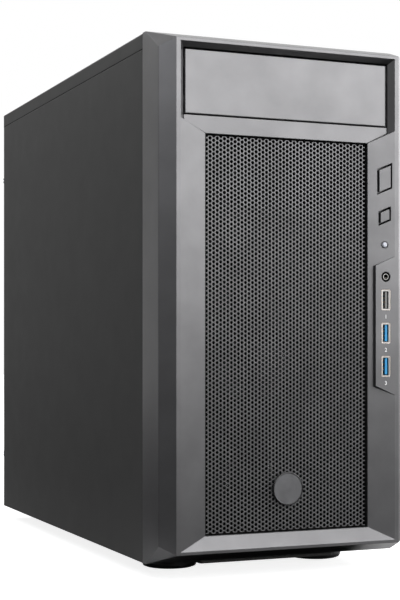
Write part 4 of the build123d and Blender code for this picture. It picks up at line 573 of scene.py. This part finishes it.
def usb_heights():
    """Middles of the sockets, from the top one down."""
    low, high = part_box("usb_sockets")
    tall = USB_SHELL_HEIGHT * MM
    step = (high.z - low.z - tall) / (USB_COUNT - 1)
    return [(high.z - tall / 2 - n * step - GROUND) / MM for n in range(USB_COUNT)]


def usb_rims(x, heights):
    """A bright rim just inside each opening."""
    width, tall, corner = USB_OPENING
    width, tall = width - 2 * USB_RIM_INSET, tall - 2 * USB_RIM_INSET
    rims = [rounded_rectangle(x, height, width, tall, corner, USB_RIM_DEPTH) for height in heights]
    wire("usb_rims", rims, USB_RIM, "bezel", RIM_METAL)


def usb_linings(x, heights):
    """Black sheets over the walls and back of each socket's cavity: painted shade for the dark inside of
    the metal shell.
    """
    width, tall, deep = USB_CAVITY
    half, reach, back = width / 2 - CAVITY_SHADE_GAP, tall / 2 - CAVITY_SHADE_GAP, deep - 2 * CAVITY_SHADE_GAP
    vertices, faces = [], []
    for height in heights:
        n = len(vertices)
        for depth in (CAVITY_SHADE_FRONT, back):
            vertices += upright(x - half, x + half, height - reach, height + reach, depth)
        faces += band(n) + [(n + 4, n + 5, n + 6, n + 7)]
    mesh_piece("usb_linings", vertices, faces, "bezel", MATERIALS["black_plastic"])


def usb_tongue(number, x, height):
    """A socket's coloured tongue, with its gilt contacts on the left."""
    side, along = TONGUE[0] / 2 + TONGUE_SKIN, TONGUE[1] / 2 + TONGUE_SKIN
    finish = BLUE_TONGUE if number > 1 else GREY_TONGUE
    low = at(x - side, TONGUE_FRONT, height - along)
    high = at(x + side, USB_CAVITY[2] - TONGUE_BACK, height + along)
    blocks(f"usb_tongue_{number}", [(low, high)], "bezel", finish)
    front, back = CONTACT_SPAN
    pads = []
    for k in range(CONTACT_COUNT):
        z = height + (k - (CONTACT_COUNT - 1) / 2) * TONGUE[1] / CONTACT_COUNT
        pads.append((
            at(x - side - CONTACT_PROUD, front, z - CONTACT_HALF),
            at(x - side + CONTACT_SUNK, back, z + CONTACT_HALF),
        ))
    blocks(f"usb_contacts_{number}", pads, "bezel", CONTACT_GOLD, bevel=0.03)


def numeral(text, x, height):
    """A printed figure on the boss."""
    face = bpy.data.curves.new("numeral_" + text, "FONT")
    face.body = text
    face.size = NUMERAL_SIZE * MM
    face.align_x = "CENTER"
    face.align_y = "CENTER"
    face.extrude = PRINT_DEPTH * MM
    face.offset = PRINT_STROKE * MM
    mesh = curve_mesh("numeral", face)
    for vertex in mesh.vertices:
        across, up, out = vertex.co
        vertex.co = at(x, -PRINT_PROUD, height) + Vector((across, -out, up))
    add_piece("numeral_" + text, mesh, "bezel", WHITE_PRINT)


def front_sockets():
    """Rims, black sheets painting the cavities' shade, tongues with contacts, and plain numerals under the
    sockets.
    """
    x, _ = middle_of("usb_sockets")
    heights = usb_heights()
    usb_rims(x, heights)
    usb_linings(x, heights)
    for number, height in enumerate(heights, 1):
        usb_tongue(number, x + TONGUE_SHIFT, height)
        numeral(str(number), x, height - NUMERAL_DROP)


def jack_details():
    """The jack's metal ring and the spring contact in its bore."""
    x, height = middle_of("audio_jack")
    front = at(x, JACK_DEPTH, height)
    lathe("jack_ring", front, (0, 1, 0), JACK_RING, "bezel", JACK_METAL)
    spring = [at(x + across, depth, height + up) for across, depth, up in JACK_SPRING]
    wire("jack_spring", [spring], JACK_WIRE, "bezel", RIM_METAL, closed=False)


# ---- Buttons, lamp, badge and seams -----------------------------------------------------------
SLANT = 0.43              # rise of the buttons' top and foot, per unit across
BUTTON_GAP = 1.3
BUTTONS = (("power_button", 7.7, 14.8), ("reset_button", 5.9, 7.1))    # node, width, height
WELL_SKIN = 0.06          # the shade sheet's middle lies this far inside the opening's wall
WELL_SHEET = 0.15
WELL_FRONT = 0.3          # from the bevel
WELL_BACK = 7.0
FACE_MARGIN = 13.25       # the bevel starts this far in from the bezel's side
BEVEL_ACROSS = 18.85
BEVEL_FALL = 4.4
LAMP_RING_INNER = 1.98
LAMP_RING_OUTER = 2.45
SEAM_DEPTH = 0.005        # the strip reaches in by this share of the panel's place
SEAM_PROUD = 0.03
SEAM_SPAN = (0.02, 0.75)  # above the panel
BADGE_SHADE_RIM = ((-0.7, 0.0), (-0.6, -0.22), (-0.15, -0.25), (0.35, -0.1), (0.4, 0.9))


def bevel_depth(x):
    """How far the right-hand bevel lies behind the ring."""
    return (BEZEL_HIGH.x / MM - FACE_MARGIN - x) * BEVEL_FALL / BEVEL_ACROSS


def button_wells():
    """Black sheets on the walls of the gaps round the buttons: painted shade for the dark gaps."""
    for node, wide, tall in BUTTONS:
        x, height = middle_of(node)
        half_x = wide / 2 + BUTTON_GAP - WELL_SKIN
        half_z = tall / 2 + BUTTON_GAP - WELL_SKIN
        corners = [(a * half_x, b * half_z + a * SLANT * half_x) for a, b in SQUARE]
        front = [at(x + a, bevel_depth(x + a) + WELL_FRONT, height + b) for a, b in corners]
        back = [at(x + a, WELL_BACK, height + b) for a, b in corners]
        well = mesh_piece(node + "_gap_shade", front + back, band(), "bezel", SHADE_BLACK)
        thicken(well, WELL_SHEET, offset=0)


def lamp_ring():
    """The moulded ring that fills the gap round the lamp, square to the bevel."""
    x, height = middle_of("power_lamp")
    inward = (BEVEL_FALL / BEVEL_ACROSS, 1, 0)
    inner, outer = LAMP_RING_INNER, LAMP_RING_OUTER
    profile = [(inner, 1.2), (inner, 0.4), (inner + 0.17, 0.2), (outer, 0.1), (outer, 1.2)]
    lathe("lamp_ring", at(x, bevel_depth(x), height), inward, profile, "bezel", MATERIALS["bezel"])


def panel_seams():
    """A black strip in the seam between the top cover's fold and each side panel: painted shade for the
    seam's shadow line.
    """
    under, over = SEAM_SPAN
    for side in ("left", "right"):
        low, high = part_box(side + "_side_panel")
        face = low.x if side == "left" else high.x
        left, right = sorted((face * (1 - SEAM_DEPTH), face + math.copysign(SEAM_PROUD * MM, face)))
        strip = (Vector((left, low.y, high.z + under * MM)), Vector((right, high.y, high.z + over * MM)))
        blocks(side + "_side_seam_shade", [strip], "chassis", SHADE_BLACK, bevel=0.02)


def badge_rim():
    """A fine gloss black rim round the bare badge: painted shade for the shaded gap at its edge."""
    low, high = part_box("badge_disc")
    radius = (high.x - low.x) / 2 / MM
    front = Vector(((low.x + high.x) / 2, low.y, (low.z + high.z) / 2))
    profile = [(radius + out, along) for out, along in BADGE_SHADE_RIM]
    lathe("badge_rim", front, (0, 1, 0), profile, "bezel", MATERIALS["gloss_black"], steps=64)


# ---- Screws and rear sockets ------------------------------------------------------------------
RECESS = (0.5, 0.11)      # half length and half width of a cross recess, of the head's radius
RECESS_PROUD = 0.03
SCREW_HEADS = (           # node, body, slot, axis that the heads face along, and which way
    ("rear_screws", "chassis", "screw_steel", 1, 1),
    ("left_thumb_screws", "left_panel", "black_metal", 1, 1),
    ("right_thumb_screws", "right_panel", "black_metal", 1, 1),
    ("board_screws", "chassis", "screw_steel", 0, -1),
    ("front_fan_screws", "chassis", "screw_steel", 1, -1),
)
PORTS = (                 # sockets side by side, and what they are, from the top down
    (2, "black"), (1, "video"), (2, "blue"), (3, "blue"), (2, "blue"), (3, "audio"),
)
PORT_WALL = 1.2
PORT_RIM = 0.22           # radius of the bright rim
PORT_RIM_PROUD = 0.05
PORT_TONGUE_GAP = (2.6, 1.6)    # the gaps beside the tongue together, and those above and under it
PORT_TONGUE_SKIN = 0.06   # the coloured tongue stands this far round the plain one
PORT_TONGUE_PROUD = 0.04
PORT_TONGUE_DEPTH = 8
PIN_ROWS = (3, 9)
PIN_SPREAD = (1.7, 1.8)   # the rows' spread, of half the tongue
PIN_HALF = (0.3, 0.08, 0.3)
AUDIO_COLOURS = ((0.12, 0.35, 0.62), (0.24, 0.5, 0.16), (0.75, 0.28, 0.34))
AUDIO_MARGIN = 0.4        # between the coloured face and the socket's edge
AUDIO_SUNK, AUDIO_PROUD = 0.2, 0.06
AUDIO_HOLE = 1.8
AUDIO_FRONT = 0.05        # the ring and the bore start this far out
AUDIO_RING = ((3.6, 0.0), (3.6, 0.35), (3.3, 0.5), (2.0, 0.5), (AUDIO_HOLE, 0.3), (AUDIO_HOLE, 0.07))
AUDIO_BORE = ((AUDIO_HOLE, 0.07), (0.01, 0.06))


def solids(node):
    """The box of each separate solid in a CAD node."""
    form = bmesh.new()
    form.from_mesh(NODES[node].data)
    bmesh.ops.remove_doubles(form, verts=form.verts, dist=0.01 * MM)
    boxes, seen = [], set()
    for start in form.verts:
        if start in seen:
            continue
        seen.add(start)
        island, waiting = [], [start]
        while waiting:
            vertex = waiting.pop()
            island.append(vertex.co.copy())
            for edge in vertex.link_edges:
                other = edge.other_vert(vertex)
                if other not in seen:
                    seen.add(other)
                    waiting.append(other)
        low = Vector([min(point[i] for point in island) for i in range(3)])
        high = Vector([max(point[i] for point in island) for i in range(3)])
        boxes.append((low, high))
    form.free()
    return boxes


def cross_recesses(node, body, slot, axis, outward):
    """A gloss black cross standing on each screw head of a node, which faces along an axis: painted shade
    for the head's cross recess.
    """
    boxes = []
    across = [i for i in range(3) if i != axis]
    for low, high in solids(node):
        radius = (high - low)[across[0]] / 2
        face = (low + high) / 2
        face[axis] = high[axis] if outward > 0 else low[axis]
        for one, other in (across, across[::-1]):
            half = Vector((0, 0, 0))
            half[one], half[other], half[axis] = RECESS[0] * radius, RECESS[1] * radius, RECESS_PROUD * MM
            boxes.append((face - half, face + half))
    blocks(node + "_recess_shade", boxes, body, MATERIALS["gloss_black"], bevel=0.01)


def video_pins(middle, tongue):
    """The boxes of the video socket's contacts, in rows over its tongue."""
    half = Vector(PIN_HALF) * MM
    boxes = []
    for row in range(PIN_ROWS[0]):
        for column in range(PIN_ROWS[1]):
            x = ((row + 0.5) / PIN_ROWS[0] - 0.5) * PIN_SPREAD[0] * tongue.x
            z = ((column + 0.5) / PIN_ROWS[1] - 0.5) * PIN_SPREAD[1] * tongue.z
            place = middle + Vector((x, 0, z))
            boxes.append((place - half, place + half))
    return boxes


def audio_socket(name, middle, wide, tall, colour):
    """A coloured face with a raised ring round a round hole."""
    finish = plastic(name + "_moulding", colour, 0.4)
    half = min(wide, tall) / 2 - AUDIO_MARGIN * MM
    corners = [
        middle + Vector((a * half, y * MM, b * half)) for y in (-AUDIO_SUNK, AUDIO_PROUD) for a, b in SQUARE
    ]
    mesh_piece(name + "_face", corners, band() + [(4, 5, 6, 7)], "chassis", finish)
    front = middle + Vector((0, AUDIO_FRONT * MM, 0))
    lathe(name + "_ring", front, (0, 1, 0), AUDIO_RING, "chassis", finish)
    # a shade-black disc closes the hole: painted shade for its dark depth
    lathe(name + "_bore_shade", front, (0, 1, 0), AUDIO_BORE, "chassis", SHADE_BLACK)


def rear_sockets():
    """Rims, coloured tongues, video contacts and audio rings in the rear sockets."""
    rims, tongues, pins = [], {"black": [], "blue": [], "video": []}, []
    gap_x, gap_z = PORT_TONGUE_GAP
    deep = Vector((0, PORT_TONGUE_DEPTH, 0)) * MM
    lip = Vector((0, PORT_TONGUE_PROUD, 0)) * MM
    ports = sorted(solids("rear_ports"), key=lambda box: -box[1].z)
    for (low, high), (count, kind) in zip(ports, PORTS):
        wide, tall = (high.x - low.x) / count, high.z - low.z
        for number in range(count):
            middle = Vector((low.x + (number + 0.5) * wide, high.y, (low.z + high.z) / 2))
            if kind == "audio":
                audio_socket(f"rear_audio_{number + 1}", middle, wide, tall, AUDIO_COLOURS[number])
                continue
            half = Vector((wide / 2 - PORT_WALL * MM, 0, tall / 2 - PORT_WALL * MM))
            rims.append([middle + Vector((a * half.x, PORT_RIM_PROUD * MM, b * half.z)) for a, b in SQUARE])
            tongue = half - Vector((gap_x / 2, 0, gap_z / 2)) * MM
            skin = tongue + Vector((PORT_TONGUE_SKIN, 0, PORT_TONGUE_SKIN)) * MM
            tongues[kind].append((middle - skin - deep, middle + skin + lip))
            if kind == "video":
                pins += video_pins(middle, tongue)
    wire("rear_socket_rims", rims, PORT_RIM, "chassis", RIM_METAL)
    finishes = {"black": MATERIALS["gloss_black"], "blue": BLUE_TONGUE, "video": VIDEO_BLUE}
    for kind, boxes in tongues.items():
        blocks("rear_tongues_" + kind, boxes, "chassis", finishes[kind], bevel=0.02)
    blocks("rear_video_pins", pins, "chassis", CONTACT_GOLD, bevel=0.02)


# ---- Camera, light and stage ------------------------------------------------------------------
LENS = 83.73
SENSOR = 36
SHIFT = 0.0745            # of the frame's height: keeps the uprights upright
EYE = (-411.7, -830.3, 144.1)
EYE_TURN = -22.63

AMBIENT = 0.25
WHITE = (1, 1, 1)
COOL_WHITE = (0.92, 0.95, 1.0)
LAMPS = (                 # name, place, what it faces, size, watts, colour
    ("key", (0.92, -1.9, 1.15), (0, -0.1, 0.15), (2.4, 1.8), 60, WHITE),
    ("fill", (-1.35, -1.9, 1.35), (0, -0.15, 0.2), (1.1, 0.9), 8, COOL_WHITE),
    ("rim", (1.9, -0.5, 0.9), (0, 0, 0.2), (1.0, 1.4), 30, WHITE),
    ("back", (-0.4, 2.2, 1.7), (0, 0.1, 0.2), (1.8, 1.2), 25, WHITE),
)
FLOOR_SIZE = 12
# the floor's glow grows from this far out, to this far, from and to these strengths
FLOOR_SEEN = (0.3, 1.1, 0.85, 1.0)
FLOOR_MIRRORED = (0.3, 1.6, 0.0, 1.0)
CARDS = (                 # name, place, size, facing, how light its felt is
    ("card_floor_front", (0.1, -1.3, 0.003), (3.6, 2.1), (0, 0, 1), 0.01),
    ("card_floor_left", (-1.3, 0.9, 0.003), (2.3, 2.3), (0, 0, 1), 0.2),
    ("card_left", (-1.5, 0.9, 0.65), (3.4, 1.3), (1, -0.2, 0), 0.01),
    ("card_camera", (-0.95, -1.75, 0.3), (1.6, 0.6), (0.5, 0.85, 0), 0.01),
    ("card_above", (0, -0.1, 2.3), (2.0, 2.0), (0, 0, -1), 0.01),
    # a black card under the tower's front, met only by reflections and soft light: painted shade for the
    # floor in the tower's shadow
    ("card_floor_shade", (-0.008, -0.2, 0.003), (0.155, 0.2), (0, 0, 1), 0.01),
    ("card_high", (0.9, -0.87, 1.4), (0.9, 0.9), (-0.5, 0.38, -0.78), 0.25),
)


def camera():
    """A level camera, in front of the tower and to its left."""
    lens = bpy.data.cameras.new("camera")
    lens.sensor_fit = "VERTICAL"
    lens.sensor_height = SENSOR
    lens.lens = LENS
    lens.shift_y = SHIFT
    lens.clip_start = 0.01
    eye = bpy.data.objects.new("camera", lens)
    eye.location = at(*EYE)
    eye.rotation_euler = (radians(90), 0, radians(EYE_TURN))
    bpy.context.scene.collection.objects.link(eye)
    bpy.context.scene.camera = eye


def area_light(name, place, aim, size, power, colour):
    """A soft box at a place, that faces another."""
    data = bpy.data.lights.new(name, "AREA")
    data.shape = "RECTANGLE"
    data.size, data.size_y = size
    data.energy = power
    data.color = colour
    lamp = bpy.data.objects.new(name, data)
    lamp.location = place
    lamp.rotation_euler = (Vector(aim) - Vector(place)).to_track_quat("-Z", "Y").to_euler()
    bpy.context.scene.collection.objects.link(lamp)


def flat_sheet(name, place, size, facing):
    """A flat backdrop sheet round a place, that faces a direction."""
    wide, tall = size
    corners = [(a * wide / 2, b * tall / 2, 0) for a, b in SQUARE]
    mesh = bpy.data.meshes.new(name)
    mesh.from_pydata(corners, [], [(0, 1, 2, 3)])
    sheet = bpy.data.objects.new(name, mesh)
    sheet.location = place
    sheet.rotation_euler = Vector(facing).to_track_quat("Z", "Y").to_euler()
    bpy.context.scene.collection.objects.link(sheet)
    return sheet


def either(tree, one, other):
    """1 where either of two values is 1."""
    made = tree.nodes.new("ShaderNodeMath")
    made.operation = "MAXIMUM"
    tree.links.new(one, made.inputs[0])
    tree.links.new(other, made.inputs[1])
    return made.outputs[0]


def surround():
    """A white surround for what is seen directly, reflected or refracted, and a dimmer one for light."""
    world = bpy.data.worlds.new("studio")
    bpy.context.scene.world = world
    world.use_nodes = True
    tree = world.node_tree
    seen = tree.nodes["Background"]
    seen.inputs["Color"].default_value = (*WHITE, 1)
    seen.inputs["Strength"].default_value = 1.0
    ambient = tree.nodes.new("ShaderNodeBackground")
    ambient.inputs["Color"].default_value = (*WHITE, 1)
    ambient.inputs["Strength"].default_value = AMBIENT
    path = tree.nodes.new("ShaderNodeLightPath").outputs
    directly = either(tree, path["Is Camera Ray"], path["Is Glossy Ray"])
    mix = tree.nodes.new("ShaderNodeMixShader")
    tree.links.new(either(tree, directly, path["Is Transmission Ray"]), mix.inputs[0])
    tree.links.new(ambient.outputs[0], mix.inputs[1])
    tree.links.new(seen.outputs[0], mix.inputs[2])
    tree.links.new(mix.outputs[0], tree.nodes["World Output"].inputs["Surface"])


def pale_floor():
    """A pale floor that turns white further out, and keeps the object's shadow."""
    floor = flat_sheet("floor", (0, 0, 0), (FLOOR_SIZE, FLOOR_SIZE), (0, 0, 1))
    white = Shader("floor_white", (0.85, 0.85, 0.85), 0.9, Specular_IOR_Level=0.0)
    white.bsdf.inputs["Emission Color"].default_value = (*WHITE, 1)
    reach = white.node("ShaderNodeVectorMath", operation="LENGTH")
    white.link(white.coords, reach.inputs[0])
    path = white.node("ShaderNodeLightPath").outputs
    mirrored = either(white.tree, path["Is Glossy Ray"], path["Is Transmission Ray"])
    total = white.node("ShaderNodeMath", operation="ADD")
    rays = ((path["Is Camera Ray"], FLOOR_SEEN), (mirrored, FLOOR_MIRRORED))
    for number, (ray, spread) in enumerate(rays):
        fade = white.node("ShaderNodeMapRange", interpolation_type="SMOOTHSTEP")
        for socket, value in zip(("From Min", "From Max", "To Min", "To Max"), spread):
            fade.inputs[socket].default_value = value
        white.link(reach.outputs["Value"], fade.inputs["Value"])
        glow = white.node("ShaderNodeMath", operation="MULTIPLY")
        white.link(fade.outputs["Result"], glow.inputs[0])
        white.link(ray, glow.inputs[1])
        white.link(glow.outputs[0], total.inputs[number])
    white.link(total.outputs[0], white.bsdf.inputs["Emission Strength"])
    floor.data.materials.append(white.material)


def dark_cards():
    """Dark cards, as a studio hangs them, which only reflections and soft light meet."""
    for name, place, size, facing, level in CARDS:
        card = flat_sheet(name, place, size, facing)
        card.visible_camera = False
        card.visible_shadow = False
        felt = Shader(name + "_felt", scaled(COOL_GREY, level), 1.0, Specular_IOR_Level=0.0)
        card.data.materials.append(felt.material)


def stage():
    """A pale floor, a white surround, dark cards and soft boxes."""
    bpy.context.scene.view_settings.view_transform = "Standard"
    surround()
    pale_floor()
    dark_cards()
    for lamp in LAMPS:
        area_light(*lamp)


camera()
stage()
dress_nodes()
front_mesh()
dust_filter()
front_sockets()
jack_details()
badge_rim()
button_wells()
lamp_ring()
panel_seams()
rear_sockets()
for heads in SCREW_HEADS:
    cross_recesses(*heads)
